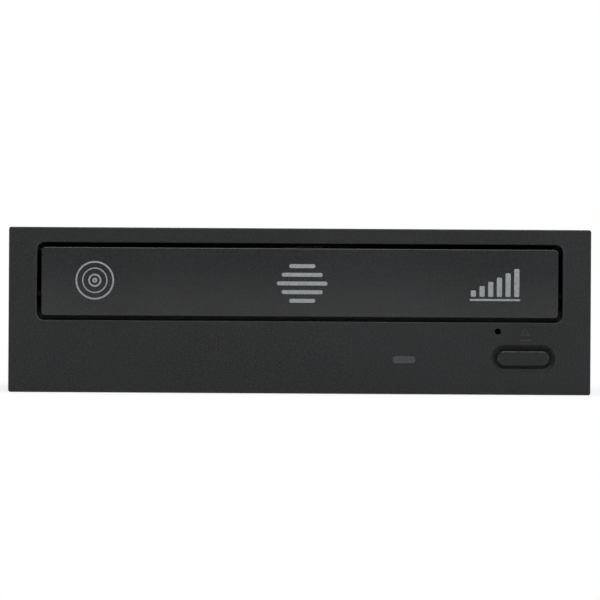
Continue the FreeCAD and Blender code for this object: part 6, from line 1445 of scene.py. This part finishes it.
@dataclass
class Traverse(Assembly):
    """The lifting frame with its base, spindle, rods, sled and lens."""

    screw_radius: float = 0.0015
    core_radius: float = 0.00122
    core_slope: float = 0.0004
    thread_lead: float = 0.003
    thread_width: float = 0.0009
    thread_crest: float = 0.45
    thread_root: float = 0.0001
    thread_inset: float = 0.0006
    thread_steps: int = 28
    thread_start: float = -0.0165
    thread_end: float = 0.0185

    def rod_steel(self) -> Finish:
        """Returns the ground steel of the rods and the screw."""
        middle = middle_of("main_guide_rod")
        return TurnedMetal("rod_steel", shown(186, 187, 188), 0.16, centre=middle, axis=Turned.LOWERED_BACK)

    def finishes(self) -> dict[str, Finish]:
        """Chooses the finish of each solid of the lifting unit.

        Returns:
            The finishes by the names of the solids.
        """
        mount = SheetMetal("mount_steel", shown(140, 141, 142), 0.38)
        rod = self.rod_steel()
        return {
            "lift_frame": Moulding("lift_black", shown(46, 47, 48), 0.52, grain=1800.0, strength=0.3),
            "pickup_base": SheetMetal("base_zinc", shown(160, 161, 161), 0.4),
            "damper_bushes": Elastic("bush_rubber", shown(58, 60, 62), 0.6),
            "spindle_mount": mount,
            "spindle_coils": Winding("coil_copper", shown(186, 104, 58), 0.35),
            "rotor_can": TurnedMetal("rotor_steel", shown(164, 164, 163), 0.26, centre=middle_of("rotor_can")),
            "rotor_magnet": TurnedMetal("rotor_ferrite", shown(62, 62, 64), 0.5, centre=middle_of("rotor_magnet")),
            "turntable": Moulding("turntable_black", shown(36, 37, 38), 0.45, grain=1800.0, strength=0.2),
            "turntable_mat": Elastic("mat_rubber", shown(44, 45, 47), 0.65),
            "main_guide_rod": rod,
            "side_guide_rod": rod,
            "rod_holders": Moulding("holder_black", shown(50, 51, 52), 0.5, grain=1800.0, strength=0.25),
            "sled_motor": TurnedMetal(
                "sled_motor_can", shown(156, 156, 154), 0.3, centre=middle_of("sled_motor"), axis=Turned.LOWERED_BACK
            ),
            "sled_motor_bracket": mount,
            "lead_screw": rod,
            "pickup_body": Moulding(
                "sled_diecast", shown(116, 118, 120), 0.5, grain=1500.0, strength=0.4, specular=0.5
            ),
            "pickup_cover": SheetMetal("sled_cover_steel", shown(150, 151, 152), 0.36),
            "actuator_yoke": SheetMetal("yoke_steel", shown(128, 129, 130), 0.4),
            "lens_holder": Moulding("lens_holder_black", shown(40, 40, 42), 0.5, grain=1800.0, strength=0.25),
            "objective_lens": Clear("lens_glass", shown(214, 220, 238), 0.03),
            "sled_nut": Moulding("nut_white", shown(206, 203, 194), 0.42, grain=1600.0, strength=0.15),
        }

    def turn_core(self, length: float) -> bmesh.types.BMesh:
        """Makes the screw's round core along Z, with plain thicker ends.

        Args:
            length: The whole length of the screw.

        Returns:
            The core.
        """
        core = bmesh.new()
        rings = (
            (-length / 2, self.screw_radius),
            (self.thread_start, self.screw_radius),
            (self.thread_start + self.core_slope, self.core_radius),
            (self.thread_end - self.core_slope, self.core_radius),
            (self.thread_end, self.screw_radius),
            (length / 2, self.screw_radius),
        )
        for place, radius in rings:
            is_end = place in (rings[0][0], rings[-1][0])
            ring = bmesh.ops.create_circle(core, cap_ends=is_end, radius=radius, segments=self.thread_steps)
            bmesh.ops.translate(core, vec=(0.0, 0.0, place), verts=ring["verts"])
        levels = sorted({round(vertex.co.z, 7) for vertex in core.verts})
        for pair in zip(levels, levels[1:]):
            loops = [edge for edge in core.edges if any(self.lies_at(edge, level) for level in pair)]
            bmesh.ops.bridge_loops(core, edges=loops)
        bmesh.ops.recalc_face_normals(core, faces=core.faces)
        return core

    @staticmethod
    def lies_at(edge: bmesh.types.BMEdge, level: float) -> bool:
        """Returns whether both ends of an edge lie at one height."""
        return all(round(vertex.co.z, 7) == level for vertex in edge.verts)

    def wind_ridge(self) -> bmesh.types.BMesh:
        """Makes the thread's ridge by winding its profile about Z.

        Returns:
            The ridge, closed at both ends.
        """
        ridge = bmesh.new()
        inner = self.core_radius - self.thread_root
        half = self.thread_width / 2
        crest = half * self.thread_crest
        start = self.thread_start + self.thread_inset
        corners = [
            ridge.verts.new((radius, 0.0, start + off))
            for radius, off in (
                (inner, -half), (self.screw_radius, -crest), (self.screw_radius, crest), (inner, half)
            )
        ]
        ridge.faces.new(corners)
        turns = (self.thread_end - self.thread_start - self.thread_inset * 2) / self.thread_lead
        steps = int(turns * self.thread_steps)
        bmesh.ops.spin(
            ridge,
            geom=ridge.verts[:] + ridge.edges[:] + ridge.faces[:],
            cent=(0.0, 0.0, 0.0),
            axis=(0.0, 0.0, 1.0),
            dvec=(0.0, 0.0, self.thread_lead / self.thread_steps),
            angle=2 * math.pi * steps / self.thread_steps,
            steps=steps,
        )
        open_edges = [edge for edge in ridge.edges if edge.is_boundary]
        if open_edges:
            bmesh.ops.holes_fill(ridge, edges=open_edges)
        bmesh.ops.remove_doubles(ridge, verts=ridge.verts, dist=SAME_PLACE)
        bmesh.ops.recalc_face_normals(ridge, faces=ridge.faces)
        return ridge

    def add_pieces(self, frame: dict) -> None:
        """Makes the sled's screw: plain ends, a slimmer core between them and a helical ridge on it.

        Args:
            frame: The loaded frame.
        """
        low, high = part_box("lead_screw")
        deep = high[1] - low[1]
        length = (deep - 2 * self.screw_radius * math.sin(LOWERED)) / math.cos(LOWERED)
        shape = Shaper("sled_screw_thread")
        shape.take(self.turn_core(length))
        shape.take(self.wind_ridge())
        lean = Matrix.Rotation(-math.pi / 2 + LOWERED, 3, "X")
        bmesh.ops.rotate(shape.mesh, cent=(0.0, 0.0, 0.0), matrix=lean, verts=shape.mesh.verts)
        bmesh.ops.translate(shape.mesh, vec=middle_of("lead_screw"), verts=shape.mesh.verts)
        piece = shape.finish(self.rod_steel(), "sled_screw", smooth=True)
        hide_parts("lead_screw")
        log.info("the screw is %.1f mm long", length * 1000)


@dataclass
class Electronics(Assembly):
    """The two boards with what is soldered on them."""

    def finishes(self) -> dict[str, Finish]:
        """Chooses the finish of each solid of the boards.

        Returns:
            The finishes by the names of the solids.
        """
        board = Laminate("board_green", shown(20, 74, 46), 0.42, copper=shown(36, 100, 62))
        return {
            "main_board": board,
            "front_board": board,
            "circuit_chips": Moulding("chip_black", shown(34, 34, 36), 0.5, grain=2600.0, strength=0.4, dust=0.0),
            "thermal_pad": Elastic("pad_silicone", shown(150, 160, 172), 0.6),
            "capacitors": TurnedMetal("capacitor_can", shown(190, 190, 190), 0.3, centre=middle_of("capacitors")),
            "board_sockets": Moulding("socket_white", shown(214, 208, 190), 0.45, grain=1500.0, strength=0.2),
            "port_housing": Moulding("port_black", shown(32, 32, 34), 0.48, grain=1800.0, strength=0.25),
            "port_contacts": TurnedMetal("contact_gold", shown(212, 176, 96), 0.25, film=0.08),
            "eject_switch": Moulding("switch_black", shown(40, 40, 42), 0.45, grain=1800.0, strength=0.2),
            "indicator_lamp": Moulding(
                "lamp_green", shown(150, 176, 140), 0.3, grain=1200.0, strength=0.08, glow=0.5, dust=0.0
            ),
            "front_ribbon": Ribbon("ribbon_film", shown(206, 208, 212), 0.35),
        }


def main() -> None:
    """Builds the studio and dresses the writer, part by part."""
    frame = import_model()
    Studio().build()
    for part in (FrontFace(), Door(), Casing(), Loader(), Traverse(), Electronics()):
        part.build(frame)
        log.info("finished the %s", type(part).__name__)


if __name__ == "__main__":
    logging.basicConfig(level=logging.INFO, format="%(name)s: %(message)s")
    main()
